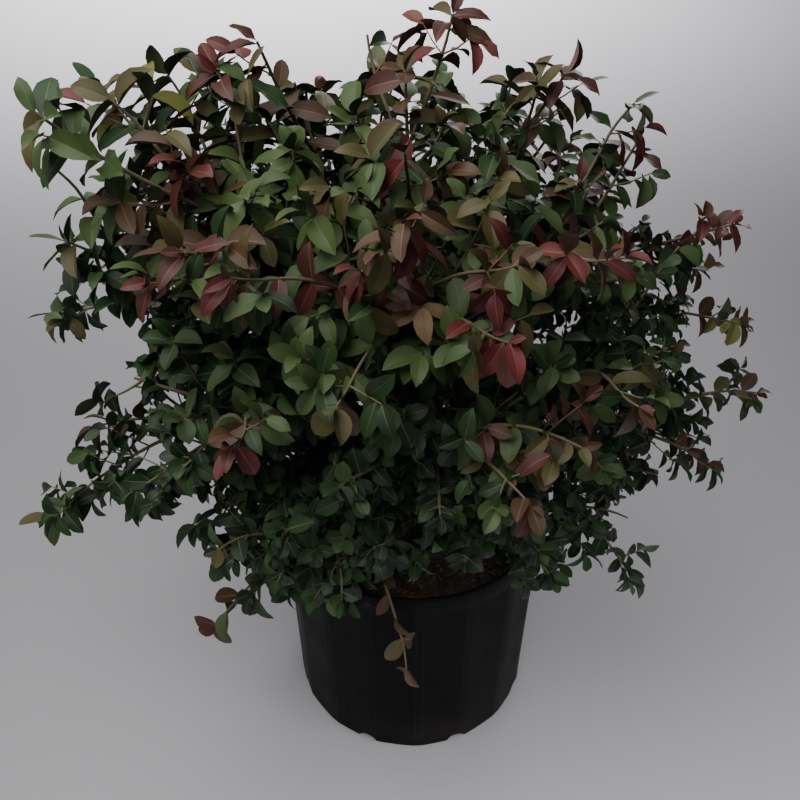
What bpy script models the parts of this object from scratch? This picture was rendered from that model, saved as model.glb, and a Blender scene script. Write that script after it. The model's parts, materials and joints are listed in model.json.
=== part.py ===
"""A burning bush, a garden shrub, standing in the black nursery pot that it is sold in.

Metres, +Z up. The origin is the middle of the pot's underside, and the viewer looks along +Y.
A short stem carries tapering boughs, and each bough ends where it enters its own mass of foliage.
Azimuths are in degrees from +X towards +Y, and elevations are in degrees above the horizontal.
"""

import math
import random
from collections import namedtuple

import bmesh
import bpy
import numpy as np
from mathutils import Matrix, Vector

# Gap between pieces that touch in the real plant
CLEARANCE = 0.0003

# Nursery pot, about five gallons, moulded with flat panels round its wall
POT_HEIGHT = 0.280
POT_BASE_RADIUS = 0.134
POT_WALL_TOP_RADIUS = 0.1435
POT_LIP_RADIUS = 0.148
POT_LIP_INNER_RADIUS = 0.1375
POT_LIP_DEPTH = 0.021
POT_LIP_ROUND = 0.0015
POT_WALL = 0.0025
POT_FLOOR = 0.003
POT_CORNER = 0.005
POT_PANELS = 16
POT_TURN = 3.0
POT_LIP_SIDES = 32
DRAIN_COUNT = 8
DRAIN_RADIUS = 0.011
DRAIN_DEPTH = 0.016
DRAIN_TURN = 22.5

# Potting mix, its flat top below the rim
MIX_TOP = 0.252
MIX_EDGE_DROP = 0.004
MIX_FLAT_SHARE = 0.8

# Main stem, from its flat cut at the mix to its top
STEM_HEIGHT = 0.092
STEM_FOOT_RADIUS = 0.021
STEM_NECK_RADIUS = 0.0135
STEM_TOP_RADIUS = 0.0112
STEM_FLARE_SHARE = 0.35
STEM_LEAN = 0.006
STEM_SHARES = (0.0, 0.08, 0.2, STEM_FLARE_SHARE, 0.7, 1.0)
TOP_FOOT_DEPTH = 0.004

# Crown: how far it reaches from its middle, each way
CROWN_MIDDLE = Vector((-0.012, 0.0, 0.500))
CROWN_LEFT = 0.335
CROWN_RIGHT = 0.325
CROWN_FRONT = 0.305
CROWN_BACK = 0.305
CROWN_UP = 0.285
CROWN_DOWN = 0.260
CROWN_SQUARENESS = 2.3
CROWN_LOWEST = -46.0

# Rings of foliage masses, seen from the crown's middle, and where their boughs leave the main stem.
# The lower boughs have no height of their own, because they fork from the middle ones.
Ring = namedtuple("Ring", "name count elevation first_azimuth bough_height bough_elevation")
RINGS = (
    Ring("middle", 7, 9.0, 282.0, 0.020, 34.0),
    Ring("upper", 5, 46.0, 270.0, 0.053, 50.0),
    Ring("top", 1, 90.0, 0.0, STEM_HEIGHT - TOP_FOOT_DEPTH, 90.0),
    Ring("lower", 6, -27.0, 240.0, None, None),
)
MASS_MIDDLE_SHARE = 0.62
MASS_MARGIN = 0.0022
MASS_END_SHARE = 0.6
TIP_DEPTH = 0.014
TIP_POT_GAP = 0.012
LEAF_POT_GAP = 0.004
LIMB_GAP = 0.0015

# Long shoots that stand out of the crown: azimuth, elevation, reach of their leaves
LONG_SHOOTS = {
    "left, top": (161.0, 63.0, 0.350),
    "left, behind the top": (149.0, 46.0, 0.335),
    "left, high": (165.0, 37.0, 0.389),
    "far left, high": (194.0, 41.0, 0.425),
    "far left, level": (186.0, 28.0, 0.385),
    "left, level": (180.0, 6.0, 0.362),
    "left, arching": (187.0, -17.0, 0.344),
    "left, low": (194.0, -20.0, 0.395),
    "left, hanging": (212.0, -55.0, 0.390),
    "in front of the pot": (265.0, -57.0, 0.363),
    "right, hanging": (326.0, -53.0, 0.326),
    "right, low": (341.0, -44.0, 0.388),
    "right, lower side": (356.0, -27.0, 0.375),
    "far right": (0.0, -13.0, 0.368),
    "right, level": (6.0, 2.0, 0.345),
    "right, high": (9.0, 18.0, 0.345),
    "right, top": (15.0, 45.0, 0.333),
    "top, to the right": (26.0, 56.0, 0.318),
    "top": (60.0, 75.0, 0.332),
    "top, to the left": (110.0, 74.0, 0.312),
    "behind, right": (55.0, 12.0, 0.350),
    "behind, left": (128.0, 6.0, 0.355),
    "behind, low": (92.0, -32.0, 0.350),
}

# Boughs: curves that leave a limb, bend towards their mass and end a little way into it.
# Those of one ring leave the stem one above another, a few places round it each time.
BOUGH_RISE = 0.020
BOUGH_PLACES = 3
BOUGH_RADIUS = 0.0052
BOUGH_TIP_RADIUS = 0.0034
BOUGH_POINTS = 5
BOUGH_ENTRY = 0.012
BOUGH_LEAST_SHARE = 0.30
BOUGH_MOST_SHARE = 0.90
LEAVE_SHARE = 0.38
ARRIVE_SHARE = 0.30
FORK_POINT = 1
FORK_THICKNESS = 0.7
FORK_SPREAD = 0.4
STEM_SIDES_SETTING = 2
BOUGH_SIDES_SETTING = 1
WELD_DISTANCE = 0.00001

# Twigs of a mass: its own stem with a knee, and one twig to each tip
TWIG_RADIUS = 0.0030
TWIG_TIP_RADIUS = 0.0014
KNEE_SHARE = 0.4
SIDE_TWIG_SHARE = 0.72
SIDE_TWIG_LEAD = 1.1
SIDE_TWIG_BACKS = (0.0, 0.3, 0.6)
TWIG_ARCHES = (0.0, 0.22, 0.40)
ARCH_BEND_SHARE = 0.55
ARCH_TAPER = 0.85
TWIG_OVERLAP = 0.002
TWIG_TESTS = 8
LEAST_REACH = 4.0
MOST_REACH = 0.97

# Leaves, each standing for a small spray
TIP_COUNT = 112
LEAF_LENGTH = 0.086
LEAF_WIDTH = 0.043
LEAF_THICKNESS = 0.0030
LEAF_LOW_SHARE = 0.32
LEAF_HIGH_SHARE = 0.62
LEAF_LOW_WIDTH = 0.90
LEAF_BOW = 0.06
LEAF_SPACING = 0.40
LEAF_TURNS = (0.0, 24.0, -24.0, 48.0, -48.0)
LEAF_SIZES = (1.0, 0.82)
LEAF_UP_SHARE = 0.65
LEAF_OUT_SHARE = 0.75
LEAF_JITTER = 0.22
LEAF_TEST_SHARES = (0.1, LEAF_LOW_SHARE, LEAF_HIGH_SHARE, 0.82, 1.0)
PAIR_SIZE = 0.82
PAIR_SIZE_SPREAD = 0.1
PAIR_ASIDE = 0.8
PAIR_AHEAD = 0.6
PAIR_SINK = 0.001
ONE_PAIR = (0.58,)
ONE_PAIR_LENGTH = 0.045
TWO_PAIRS = (0.40, 0.68)
TWO_PAIR_LENGTH = 0.150
ARCH_PAIR = 0.6
FAN_ANGLE = 70.0
FAN_JITTER = 6.0
FAN_BACK = 0.010
FAN_END_BACK = 0.003
FAN_SIZE_SPREAD = 0.08
DROOP = Vector((0.0, 0.0, -0.12))
TIP_INSET = 0.95 * LEAF_LENGTH
LONG_TIP_INSET = 0.75 * LEAF_LENGTH
SEED = 43


def remove_everything():
    for item in list(bpy.data.objects):
        bpy.data.objects.remove(item, do_unlink=True)


def new_collection(name, is_helper=False):
    collection = bpy.data.collections.new(name)
    bpy.context.scene.collection.children.link(collection)
    collection.hide_render = is_helper
    return collection


def finish(name, colour, roughness):
    """A material of one colour for one kind of piece."""
    material = bpy.data.materials.new(name)
    material.use_nodes = True
    shader = material.node_tree.nodes["Principled BSDF"]
    shader.inputs["Base Color"].default_value = (*colour, 1.0)
    shader.inputs["Roughness"].default_value = roughness
    shader.inputs["Metallic"].default_value = 0.0
    material.diffuse_color = (*colour, 1.0)
    return material


def add_object(name, data, collection, material=None):
    made = bpy.data.objects.new(name, data)
    collection.objects.link(made)
    if material:
        data.materials.append(material)
    return made


def direction_of(azimuth, elevation):
    azimuth = math.radians(azimuth)
    elevation = math.radians(elevation)
    level = math.cos(elevation)
    return Vector((level * math.cos(azimuth), level * math.sin(azimuth), math.sin(elevation)))


# Pot and potting mix


def turned(name, profile, sides, is_closed, turn, collection, material=None):
    """A profile of (radius, height) points turned about the pot's axis."""
    mesh = bpy.data.meshes.new(name)
    angle = math.radians(turn)
    points = [(r * math.cos(angle), r * math.sin(angle), z) for r, z in profile]
    edges = [(i, i + 1) for i in range(len(points) - 1)]
    if is_closed:
        edges.append((len(points) - 1, 0))
    mesh.from_pydata(points, edges, [])
    piece = add_object(name, mesh, collection, material)
    screw = piece.modifiers.new("turn", "SCREW")
    screw.axis = "Z"
    screw.steps = sides
    screw.render_steps = sides
    screw.use_merge_vertices = True
    screw.merge_threshold = 0.0001
    return piece


def wall_radius(height):
    """Radius of the pot's outer wall at its panels' corners."""
    share = height / POT_HEIGHT
    return POT_BASE_RADIUS + (POT_WALL_TOP_RADIUS - POT_BASE_RADIUS) * share


def pot_shell(collection, material):
    profile = (
        (0.0, POT_FLOOR),
        (wall_radius(POT_FLOOR) - POT_WALL, POT_FLOOR),
        (wall_radius(POT_HEIGHT) - POT_WALL, POT_HEIGHT - POT_WALL),
        (wall_radius(POT_HEIGHT), POT_HEIGHT - POT_WALL),
        (wall_radius(POT_CORNER), POT_CORNER),
        (wall_radius(0.0) - POT_CORNER, 0.0),
        (0.0, 0.0),
    )
    return turned("pot", profile, POT_PANELS, False, POT_TURN, collection, material)


def pot_lip(collection):
    low = POT_HEIGHT - POT_LIP_DEPTH
    profile = (
        (POT_LIP_INNER_RADIUS + POT_LIP_ROUND, POT_HEIGHT),
        (POT_LIP_RADIUS - POT_LIP_ROUND, POT_HEIGHT),
        (POT_LIP_RADIUS, POT_HEIGHT - POT_LIP_ROUND),
        (POT_LIP_RADIUS - 0.5 * POT_LIP_ROUND, low),
        (POT_LIP_INNER_RADIUS, low),
        (POT_LIP_INNER_RADIUS, POT_HEIGHT - POT_LIP_ROUND),
    )
    return turned("lip", profile, POT_LIP_SIDES, True, 0.0, collection)


def drain_cutter(index, collection):
    """A round bar through the corner between the pot's wall and floor."""
    azimuth = DRAIN_TURN + 360.0 * index / DRAIN_COUNT
    outward = direction_of(azimuth, 0.0)
    work = bmesh.new()
    bmesh.ops.create_cone(
        work,
        cap_ends=True,
        segments=12,
        radius1=DRAIN_RADIUS,
        radius2=DRAIN_RADIUS,
        depth=2.0 * DRAIN_DEPTH,
        matrix=Matrix.Rotation(math.radians(15.0), 4, "Z"),
    )
    mesh = bpy.data.meshes.new(f"drain_{index + 1}")
    work.to_mesh(mesh)
    work.free()
    cutter = add_object(mesh.name, mesh, collection)
    cutter.rotation_euler = outward.to_track_quat("Z", "Y").to_euler()
    cutter.location = outward * POT_BASE_RADIUS
    return cutter


def make_pot(parts, cutters, material):
    shell = pot_shell(parts, material)
    lip = pot_lip(cutters)
    join = shell.modifiers.new("lip", "BOOLEAN")
    join.operation = "UNION"
    join.object = lip
    for index in range(DRAIN_COUNT):
        cut = shell.modifiers.new(f"drain_{index + 1}", "BOOLEAN")
        cut.operation = "DIFFERENCE"
        cut.object = drain_cutter(index, cutters)
    return shell


def make_potting_mix(parts, material):
    corner_gap = CLEARANCE / math.cos(math.pi / POT_PANELS)
    low = POT_FLOOR + CLEARANCE
    edge = MIX_TOP - MIX_EDGE_DROP
    inset = POT_WALL + corner_gap
    profile = (
        (0.0, MIX_TOP),
        (MIX_FLAT_SHARE * (wall_radius(MIX_TOP) - inset), MIX_TOP),
        (wall_radius(edge) - inset, edge),
        (wall_radius(low) - inset, low),
        (0.0, low),
    )
    return turned("potting_mix", profile, POT_PANELS, False, POT_TURN, parts, material)


# Stem and boughs


def make_limb(name, points, radii, sides_setting, collection, material=None):
    """A tapering round limb along straight runs between the points, as a closed mesh."""
    curve = bpy.data.curves.new(f"{name}_path", "CURVE")
    curve.dimensions = "3D"
    curve.bevel_depth = radii[0]
    curve.bevel_resolution = sides_setting
    curve.use_fill_caps = True
    spline = curve.splines.new("POLY")
    spline.points.add(len(points) - 1)
    for slot, point, radius in zip(spline.points, points, radii):
        slot.co = (*point, 1.0)
        slot.radius = radius / radii[0]
    path = add_object(curve.name, curve, collection)
    graph = bpy.context.evaluated_depsgraph_get()
    mesh = bpy.data.meshes.new_from_object(path.evaluated_get(graph))
    mesh.name = name
    bpy.data.objects.remove(path, do_unlink=True)
    work = bmesh.new()
    work.from_mesh(mesh)
    bmesh.ops.remove_doubles(work, verts=work.verts, dist=WELD_DISTANCE)
    work.to_mesh(mesh)
    work.free()
    mesh.materials.clear()
    return add_object(name, mesh, collection, material)


def make_limb_cutter(name, points, radii, sides_setting, collection):
    """A limb's own shape made larger all round by the clearance, which cuts the feet that stand on it."""
    low = points[0] + (points[0] - points[1]).normalized() * CLEARANCE
    high = points[-1] + (points[-1] - points[-2]).normalized() * CLEARANCE
    larger = [radius + CLEARANCE for radius in radii]
    points = [low, *points[1:-1], high]
    return make_limb(f"{name}_cutter", points, larger, sides_setting, collection)


def cut_foot(limb, cutter):
    """Shapes a limb's foot to the limb that carries it."""
    cut = limb.modifiers.new("foot", "BOOLEAN")
    cut.operation = "DIFFERENCE"
    cut.object = cutter


def stem_radius(height):
    """Radius of the main stem at a height above its foot."""
    share = height / STEM_HEIGHT
    if share > STEM_FLARE_SHARE:
        along = (share - STEM_FLARE_SHARE) / (1.0 - STEM_FLARE_SHARE)
        return STEM_NECK_RADIUS + (STEM_TOP_RADIUS - STEM_NECK_RADIUS) * along
    flare = 1.0 - share / STEM_FLARE_SHARE
    return STEM_NECK_RADIUS + (STEM_FOOT_RADIUS - STEM_NECK_RADIUS) * flare * flare


def stem_point(height):
    """A point on the main stem's axis, which starts upright and then leans."""
    lean = STEM_LEAN * (height / STEM_HEIGHT) ** 2
    return Vector((lean, 0.0, MIX_TOP + CLEARANCE + height))


def make_main_stem(parts, cutters, material):
    """The stem, and the cutter for the feet of the boughs on it."""
    points = [stem_point(share * STEM_HEIGHT) for share in STEM_SHARES]
    radii = [stem_radius(share * STEM_HEIGHT) for share in STEM_SHARES]
    make_limb("main_stem", points, radii, STEM_SIDES_SETTING, parts, material)
    return make_limb_cutter("main_stem", points, radii, STEM_SIDES_SETTING, cutters)


def bezier(points, share):
    a, b, c, d = points
    rest = 1.0 - share
    return (
        a * rest**3
        + b * 3.0 * rest**2 * share
        + c * 3.0 * rest * share**2
        + d * share**3
    )


def crown_reach(direction):
    """How far the crown goes from its middle in a direction."""
    wide = CROWN_RIGHT if direction.x > 0.0 else CROWN_LEFT
    deep = CROWN_BACK if direction.y > 0.0 else CROWN_FRONT
    tall = CROWN_UP if direction.z > 0.0 else CROWN_DOWN
    total = (
        abs(direction.x / wide) ** CROWN_SQUARENESS
        + abs(direction.y / deep) ** CROWN_SQUARENESS
        + abs(direction.z / tall) ** CROWN_SQUARENESS
    )
    return total ** (-1.0 / CROWN_SQUARENESS)


class Mass:
    """One mass of foliage: the middle of its space, its tips and the limb that carries it."""

    def __init__(self, ring, number):
        place = ring.name if ring.count == 1 else f"{ring.name}_{number + 1}"
        self.name = f"foliage_{place}"
        self.bough_name = f"bough_{place}"
        self.ring = ring
        self.azimuth = ring.first_azimuth + 360.0 * number / ring.count
        direction = direction_of(self.azimuth, ring.elevation)
        self.middle = CROWN_MIDDLE + direction * MASS_MIDDLE_SHARE * crown_reach(direction)
        self.tips = []
        self.height = ring.bough_height
        if self.height:
            self.height += BOUGH_RISE * (BOUGH_PLACES * number % ring.count) / ring.count
        self.parent = None
        self.cutter = None

    def way(self, share):
        """A point between the mass's middle and the mean of its tips."""
        return self.middle.lerp(sum(self.tips, Vector()) / len(self.tips), share)


def make_masses():
    return [Mass(ring, number) for ring in RINGS for number in range(ring.count)]


class Spaces:
    """The space of each mass: the points that are nearer to its middle than to any other."""

    def __init__(self, masses):
        self.middles = np.array([mass.middle for mass in masses])

    def margins(self, points, index):
        """How deep each point is in the space of this mass; below zero it is outside."""
        points = np.atleast_2d(np.asarray(points, float))
        apart = np.linalg.norm(points[:, None, :] - self.middles[None, :, :], axis=2) ** 2
        between = np.linalg.norm(self.middles - self.middles[index], axis=1)
        between[index] = 1.0
        depth = (apart - apart[:, [index]]) / (2.0 * between)
        depth[:, index] = np.inf
        return depth.min(axis=1)

    def owner(self, point):
        apart = np.linalg.norm(self.middles - np.asarray(point), axis=1)
        return int(apart.argmin())

    def drawn_in(self, point, index, depth):
        """The point, moved away from its neighbours' spaces until it is this deep in its own."""
        for _ in range(4):
            for other, middle in enumerate(self.middles):
                if other == index:
                    continue
                away = Vector(self.middles[index] - middle)
                half = Vector(0.5 * (self.middles[index] + middle))
                short = depth - (point - half).dot(away.normalized())
                if short > 0.0:
                    point = point + away.normalized() * short
        return point


def clear_of_pot(points, margin):
    """True where no point is inside the pot or right above its rim."""
    points = np.atleast_2d(np.asarray(points, float))
    outside = np.hypot(points[:, 0], points[:, 1]) > POT_LIP_RADIUS + margin
    above = points[:, 2] > POT_HEIGHT + margin
    return bool((outside | above).all())


def spread_tips(masses, spaces):
    """Deals the long shoots, and then tips spread evenly over the crown, to the masses that own them."""
    for azimuth, elevation, reach in LONG_SHOOTS.values():
        direction = direction_of(azimuth, elevation)
        deal_tip(masses, spaces, CROWN_MIDDLE + direction * (reach - LONG_TIP_INSET))
    golden = math.pi * (3.0 - math.sqrt(5.0))
    for index in range(TIP_COUNT):
        height = 1.0 - (2.0 * index + 1.0) / TIP_COUNT
        level = math.sqrt(1.0 - height * height)
        around = golden * index
        direction = Vector((level * math.cos(around), level * math.sin(around), height))
        if math.degrees(math.asin(height)) < CROWN_LOWEST:
            continue
        length = crown_reach(direction) - TIP_INSET
        deal_tip(masses, spaces, CROWN_MIDDLE + direction * length)


def deal_tip(masses, spaces, point):
    """Gives a tip to the mass whose space it is in, unless it would rest on the pot."""
    index = spaces.owner(point)
    point = spaces.drawn_in(point, index, TIP_DEPTH)
    if clear_of_pot(point, TIP_POT_GAP):
        masses[index].tips.append(point)


def route_bough(mass, index, spaces, root, direction, thickness=1.0):
    """Sets the mass's limb: a curve from a point inside its parent to a little way into the mass."""
    last = BOUGH_POINTS - 1
    taper = (BOUGH_TIP_RADIUS - BOUGH_RADIUS) / last
    mass.radii = [thickness * (BOUGH_RADIUS + taper * step) for step in range(BOUGH_POINTS)]
    mass.end = mass.way(MASS_END_SHARE)
    arrive = (mass.middle - CROWN_MIDDLE).normalized()
    span = (mass.end - root).length
    leave = root + direction * LEAVE_SHARE * span
    handles = (root, leave, mass.end - arrive * ARRIVE_SHARE * span, mass.end)
    share = BOUGH_LEAST_SHARE
    while share < BOUGH_MOST_SHARE:
        if spaces.margins(bezier(handles, share), index)[0] >= BOUGH_ENTRY:
            break
        share += 0.01
    mass.bough = [bezier(handles, share * step / last) for step in range(BOUGH_POINTS)]


def turn_between(first, second):
    return abs((first - second + 180.0) % 360.0 - 180.0)


def route_fork(mass, index, spaces):
    """A lower bough, which leaves the flank of its parent, a middle bough."""
    root = mass.parent.bough[FORK_POINT]
    wanted = (mass.way(0.5) - root).normalized()
    direction = (wanted + direction_of(mass.azimuth, 0.0) * FORK_SPREAD).normalized()
    route_bough(mass, index, spaces, root, direction, FORK_THICKNESS)


def route_boughs(masses, spaces):
    """The middle and upper boughs leave the stem's flank, and the top one goes on from its end."""
    middle_ring = [mass for mass in masses if mass.ring.name == "middle"]
    for index, mass in enumerate(masses):
        if mass.height:
            direction = direction_of(mass.azimuth, mass.ring.bough_elevation)
            route_bough(mass, index, spaces, stem_point(mass.height), direction)
    for index, mass in enumerate(masses):
        if mass.ring.name == "lower":
            turns = [turn_between(other.azimuth, mass.azimuth) for other in middle_ring]
            mass.parent = middle_ring[turns.index(min(turns))]
            route_fork(mass, index, spaces)


def make_boughs(masses, stem_cutter, parts, cutters, material):
    """Every bough, its foot cut to the stem or to the bough that carries it."""
    for mass in masses:
        bough = make_limb(
            mass.bough_name, mass.bough, mass.radii, BOUGH_SIDES_SETTING, parts, material
        )
        if mass.parent is None:
            cut_foot(bough, stem_cutter)
            continue
        if mass.parent.cutter is None:
            mass.parent.cutter = make_limb_cutter(
                mass.parent.bough_name,
                mass.parent.bough,
                mass.parent.radii,
                BOUGH_SIDES_SETTING,
                cutters,
            )
        cut_foot(bough, mass.parent.cutter)


# Foliage


def limb_samples(masses):
    """Points along the stem and every bough, with the limb's radius at each."""
    heights = np.linspace(0.0, STEM_HEIGHT, 20)
    points = [stem_point(height) for height in heights]
    radii = [stem_radius(height) for height in heights]
    for mass in masses:
        for a, b, ra, rb in zip(mass.bough, mass.bough[1:], mass.radii, mass.radii[1:]):
            for share in np.linspace(0.0, 1.0, 9):
                points.append(a.lerp(b, share))
                radii.append(ra + (rb - ra) * share)
    return np.array(points), np.array(radii)


def leaf_half_width(share, width):
    """Half the leaf's width at a share of its length."""
    outline = (0.0, LEAF_LOW_SHARE, LEAF_HIGH_SHARE, 1.0)
    return 0.5 * width * np.interp(share, outline, (0.0, LEAF_LOW_WIDTH, 1.0, 0.0))


class Grower:
    """Grows the twigs and leaves of one mass, and leaves out what would not fit."""

    def __init__(self, index, mass, spaces, limbs, collection):
        self.index = index
        self.mass = mass
        self.spaces = spaces
        self.limb_points, self.limb_radii = limbs
        self.collection = collection
        self.random = random.Random(SEED + index)
        self.leaf_middles = []
        self.count = 0

    def add_mesh(self, work):
        mesh = bpy.data.meshes.new(f"{self.mass.name}_{self.count}")
        work.to_mesh(mesh)
        work.free()
        self.count += 1
        return add_object(mesh.name, mesh, self.collection)

    def twig_fits(self, start, end, radius):
        steps = [start.lerp(end, (step + 1) / TWIG_TESTS) for step in range(TWIG_TESTS)]
        if self.spaces.margins(steps, self.index).min() < MASS_MARGIN + radius:
            return False
        if not clear_of_pot(steps, LEAF_POT_GAP + radius):
            return False
        run = np.array(end - start)
        share = np.clip((self.limb_points - np.array(start)) @ run / (run @ run), 0.0, 1.0)
        nearest = np.array(start) + share[:, None] * run
        apart = np.linalg.norm(self.limb_points - nearest, axis=1)
        return bool((apart > self.limb_radii + radius + LIMB_GAP).all())

    def add_twig(self, start, end, first_radius, last_radius):
        """A three-sided tapering twig."""
        run = end - start
        turn = run.to_track_quat("Z", "Y").to_matrix().to_4x4()
        place = Matrix.Translation(start.lerp(end, 0.5)) @ turn
        work = bmesh.new()
        bmesh.ops.create_cone(
            work,
            cap_ends=True,
            segments=3,
            radius1=first_radius,
            radius2=last_radius,
            depth=run.length,
            matrix=place,
        )
        return self.add_mesh(work)

    def leaf_fits(self, root, along, across, normal, length, width):
        shares = np.array(LEAF_TEST_SHARES)
        halves = leaf_half_width(shares, width)
        rows = np.array(root) + np.outer(shares * length, np.array(along))
        edge = np.outer(halves, np.array(across))
        points = np.vstack([rows, rows + edge, rows - edge])
        if self.spaces.margins(points, self.index).min() < MASS_MARGIN:
            return False
        if not clear_of_pot(points, LEAF_POT_GAP):
            return False
        offset = self.limb_points - np.array(root)
        share = offset @ np.array(along) / length
        aside = np.abs(offset @ np.array(across)) - leaf_half_width(share, width)
        above = np.abs(offset @ np.array(normal)) - LEAF_THICKNESS
        clear = self.limb_radii + LIMB_GAP
        touching = (aside < clear) & (above < clear) & (share > -0.05) & (share < 1.05)
        if touching.any():
            return False
        middle = np.array(root + along * 0.5 * length)
        least = LEAF_SPACING * length
        return all(np.linalg.norm(middle - other) > least for other in self.leaf_middles)

    def add_leaf(self, root, direction, facing, size):
        """A leaf whose root is sunk in its twig, turned or made smaller to fit."""
        for scale in LEAF_SIZES:
            for turn in LEAF_TURNS:
                length = LEAF_LENGTH * size * scale
                width = LEAF_WIDTH * size * scale
                along = Matrix.Rotation(math.radians(turn), 3, facing) @ direction.normalized()
                across = facing.cross(along).normalized()
                normal = along.cross(across)
                if self.leaf_fits(root, along, across, normal, length, width):
                    self.place_leaf(root, along, across, normal, length, width)
                    return

    def place_leaf(self, root, along, across, normal, length, width):
        """A flattened ball of twelve faces: a ring of six points round the outline and one each side."""
        work = bmesh.new()
        bmesh.ops.create_uvsphere(work, u_segments=6, v_segments=2, radius=1.0)
        for vert in work.verts:
            x, y, z = vert.co
            if abs(z) > 0.5:
                share, aside = 0.5, 0.0
                above = 0.5 * LEAF_THICKNESS * round(z) + LEAF_BOW * length
            else:
                share = (0.0, LEAF_LOW_SHARE, LEAF_HIGH_SHARE, 1.0)[round((x + 1.0) * 1.5)]
                aside = float(leaf_half_width(share, width)) * (1.0 if y > 0.0 else -1.0)
                above = 0.5 * LEAF_BOW * length if 0.1 < share < 0.9 else 0.0
            vert.co = root + along * share * length + across * aside + normal * above
        self.leaf_middles.append(np.array(root + along * 0.5 * length))
        self.add_mesh(work)

    def facing_at(self, point):
        """Leaves face the light: up, and out of the crown."""
        outward = (point - CROWN_MIDDLE).normalized()
        jitter = Vector([self.random.uniform(-LEAF_JITTER, LEAF_JITTER) for _ in range(3)])
        light = outward * LEAF_OUT_SHARE + Vector((0.0, 0.0, LEAF_UP_SHARE))
        return (light + jitter).normalized()

    def reach_tip(self, tip, reach, foot, knee, end):
        """Finds a way from the mass's stem to a tip: straight, from further back, or arching over."""
        for arch in TWIG_ARCHES:
            for back in SIDE_TWIG_BACKS:
                start = self.point_on_stem(foot, knee, end, reach * (1.0 - back))
                rise = Vector((0.0, 0.0, arch * (tip - start).length))
                bend = start.lerp(tip, ARCH_BEND_SHARE) + rise
                if self.twig_fits(start, bend, TWIG_RADIUS) and self.twig_fits(bend, tip, TWIG_RADIUS):
                    self.leafy_twig(start, bend if arch else None, tip)
                    return

    def leafy_twig(self, start, bend, tip):
        """A twig with opposite leaves along it and a fan of leaves at its tip."""
        radius = TWIG_RADIUS * SIDE_TWIG_SHARE
        if bend:
            first = (bend - start).normalized()
            self.add_twig(start, bend + first * TWIG_OVERLAP, radius, radius * ARCH_TAPER)
            self.add_pair(start.lerp(bend, ARCH_PAIR), first)
            start = bend
            radius *= ARCH_TAPER
        self.add_twig(start, tip, radius, TWIG_TIP_RADIUS)
        ahead = (tip - start).normalized()
        length = (tip - start).length
        shares = TWO_PAIRS if length > TWO_PAIR_LENGTH else ONE_PAIR
        if length < ONE_PAIR_LENGTH:
            shares = ()
        for share in shares:
            self.add_pair(start.lerp(tip, share), ahead)
        self.add_fan(tip, ahead)

    def size_near(self, size, spread):
        return size * self.random.uniform(1.0 - spread, 1.0 + spread)

    def add_pair(self, point, ahead):
        """Two opposite leaves that lean a little way along the twig."""
        facing = self.facing_at(point)
        aside = ahead.cross(facing).normalized()
        facing = aside.cross(ahead).normalized()
        for sign in (1.0, -1.0):
            direction = (aside * sign * PAIR_ASIDE + ahead * PAIR_AHEAD).normalized()
            size = self.size_near(PAIR_SIZE, PAIR_SIZE_SPREAD)
            self.add_leaf(point - direction * PAIR_SINK, direction, facing, size)

    def add_fan(self, tip, ahead):
        """A leaf that goes on from the tip, and an opposite pair close behind it."""
        facing = self.facing_at(tip)
        aside = ahead.cross(facing).normalized()
        facing = aside.cross(ahead).normalized()
        leaves = ((0.0, FAN_END_BACK), (FAN_ANGLE, FAN_BACK), (-FAN_ANGLE, FAN_BACK))
        for angle, back in leaves:
            turn = math.radians(angle + self.random.uniform(-FAN_JITTER, FAN_JITTER))
            direction = (ahead * math.cos(turn) + aside * math.sin(turn) + DROOP).normalized()
            size = self.size_near(1.0, FAN_SIZE_SPREAD)
            self.add_leaf(tip - ahead * back, direction, self.square_facing(direction, facing), size)

    @staticmethod
    def square_facing(direction, facing):
        across = facing.cross(direction).normalized()
        return direction.cross(across).normalized()

    def grow(self):
        """The mass's own stem, and a twig from it to each tip."""
        before, entry = self.mass.bough[-2:]
        ahead = (entry - before).normalized()
        foot = entry + ahead * CLEARANCE
        end = self.mass.end
        knee = foot + ahead * KNEE_SHARE * (end - foot).length
        last = (end - knee).normalized()
        stem = self.add_twig(foot, knee + ahead * TWIG_OVERLAP, self.mass.radii[-1], TWIG_RADIUS)
        self.add_twig(knee - last * 0.5 * TWIG_OVERLAP, end, TWIG_RADIUS, TWIG_TIP_RADIUS)
        self.add_fan(end, last)
        axis = (end - foot).normalized()
        for tip in self.mass.tips:
            offset = tip - foot
            along = offset.dot(axis)
            aside = (offset - axis * along).length
            reach = min(along - SIDE_TWIG_LEAD * aside, MOST_REACH * (end - foot).length)
            self.reach_tip(tip, max(reach, LEAST_REACH * self.mass.radii[-1]), foot, knee, end)
        return stem

    @staticmethod
    def point_on_stem(foot, knee, end, distance):
        first = (knee - foot).length
        if distance < first:
            return foot.lerp(knee, distance / first)
        return knee.lerp(end, min((distance - first) / (end - knee).length, 1.0))


def largest_piece_only(mesh):
    """Keeps the outer skin and drops loose scraps and the skins of sealed hollows."""
    work = bmesh.new()
    work.from_mesh(mesh)
    left = set(work.verts)
    pieces = []
    while left:
        front = [left.pop()]
        piece = set(front)
        while front:
            vert = front.pop()
            for edge in vert.link_edges:
                other = edge.other_vert(vert)
                if other in left:
                    left.remove(other)
                    piece.add(other)
                    front.append(other)
        pieces.append(piece)
    pieces.sort(key=len)
    loose = [vert for piece in pieces[:-1] for vert in piece]
    bmesh.ops.delete(work, geom=loose, context="VERTS")
    bmesh.ops.triangulate(work, faces=work.faces)
    work.to_mesh(mesh)
    work.free()
    return len(pieces) - 1


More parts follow.
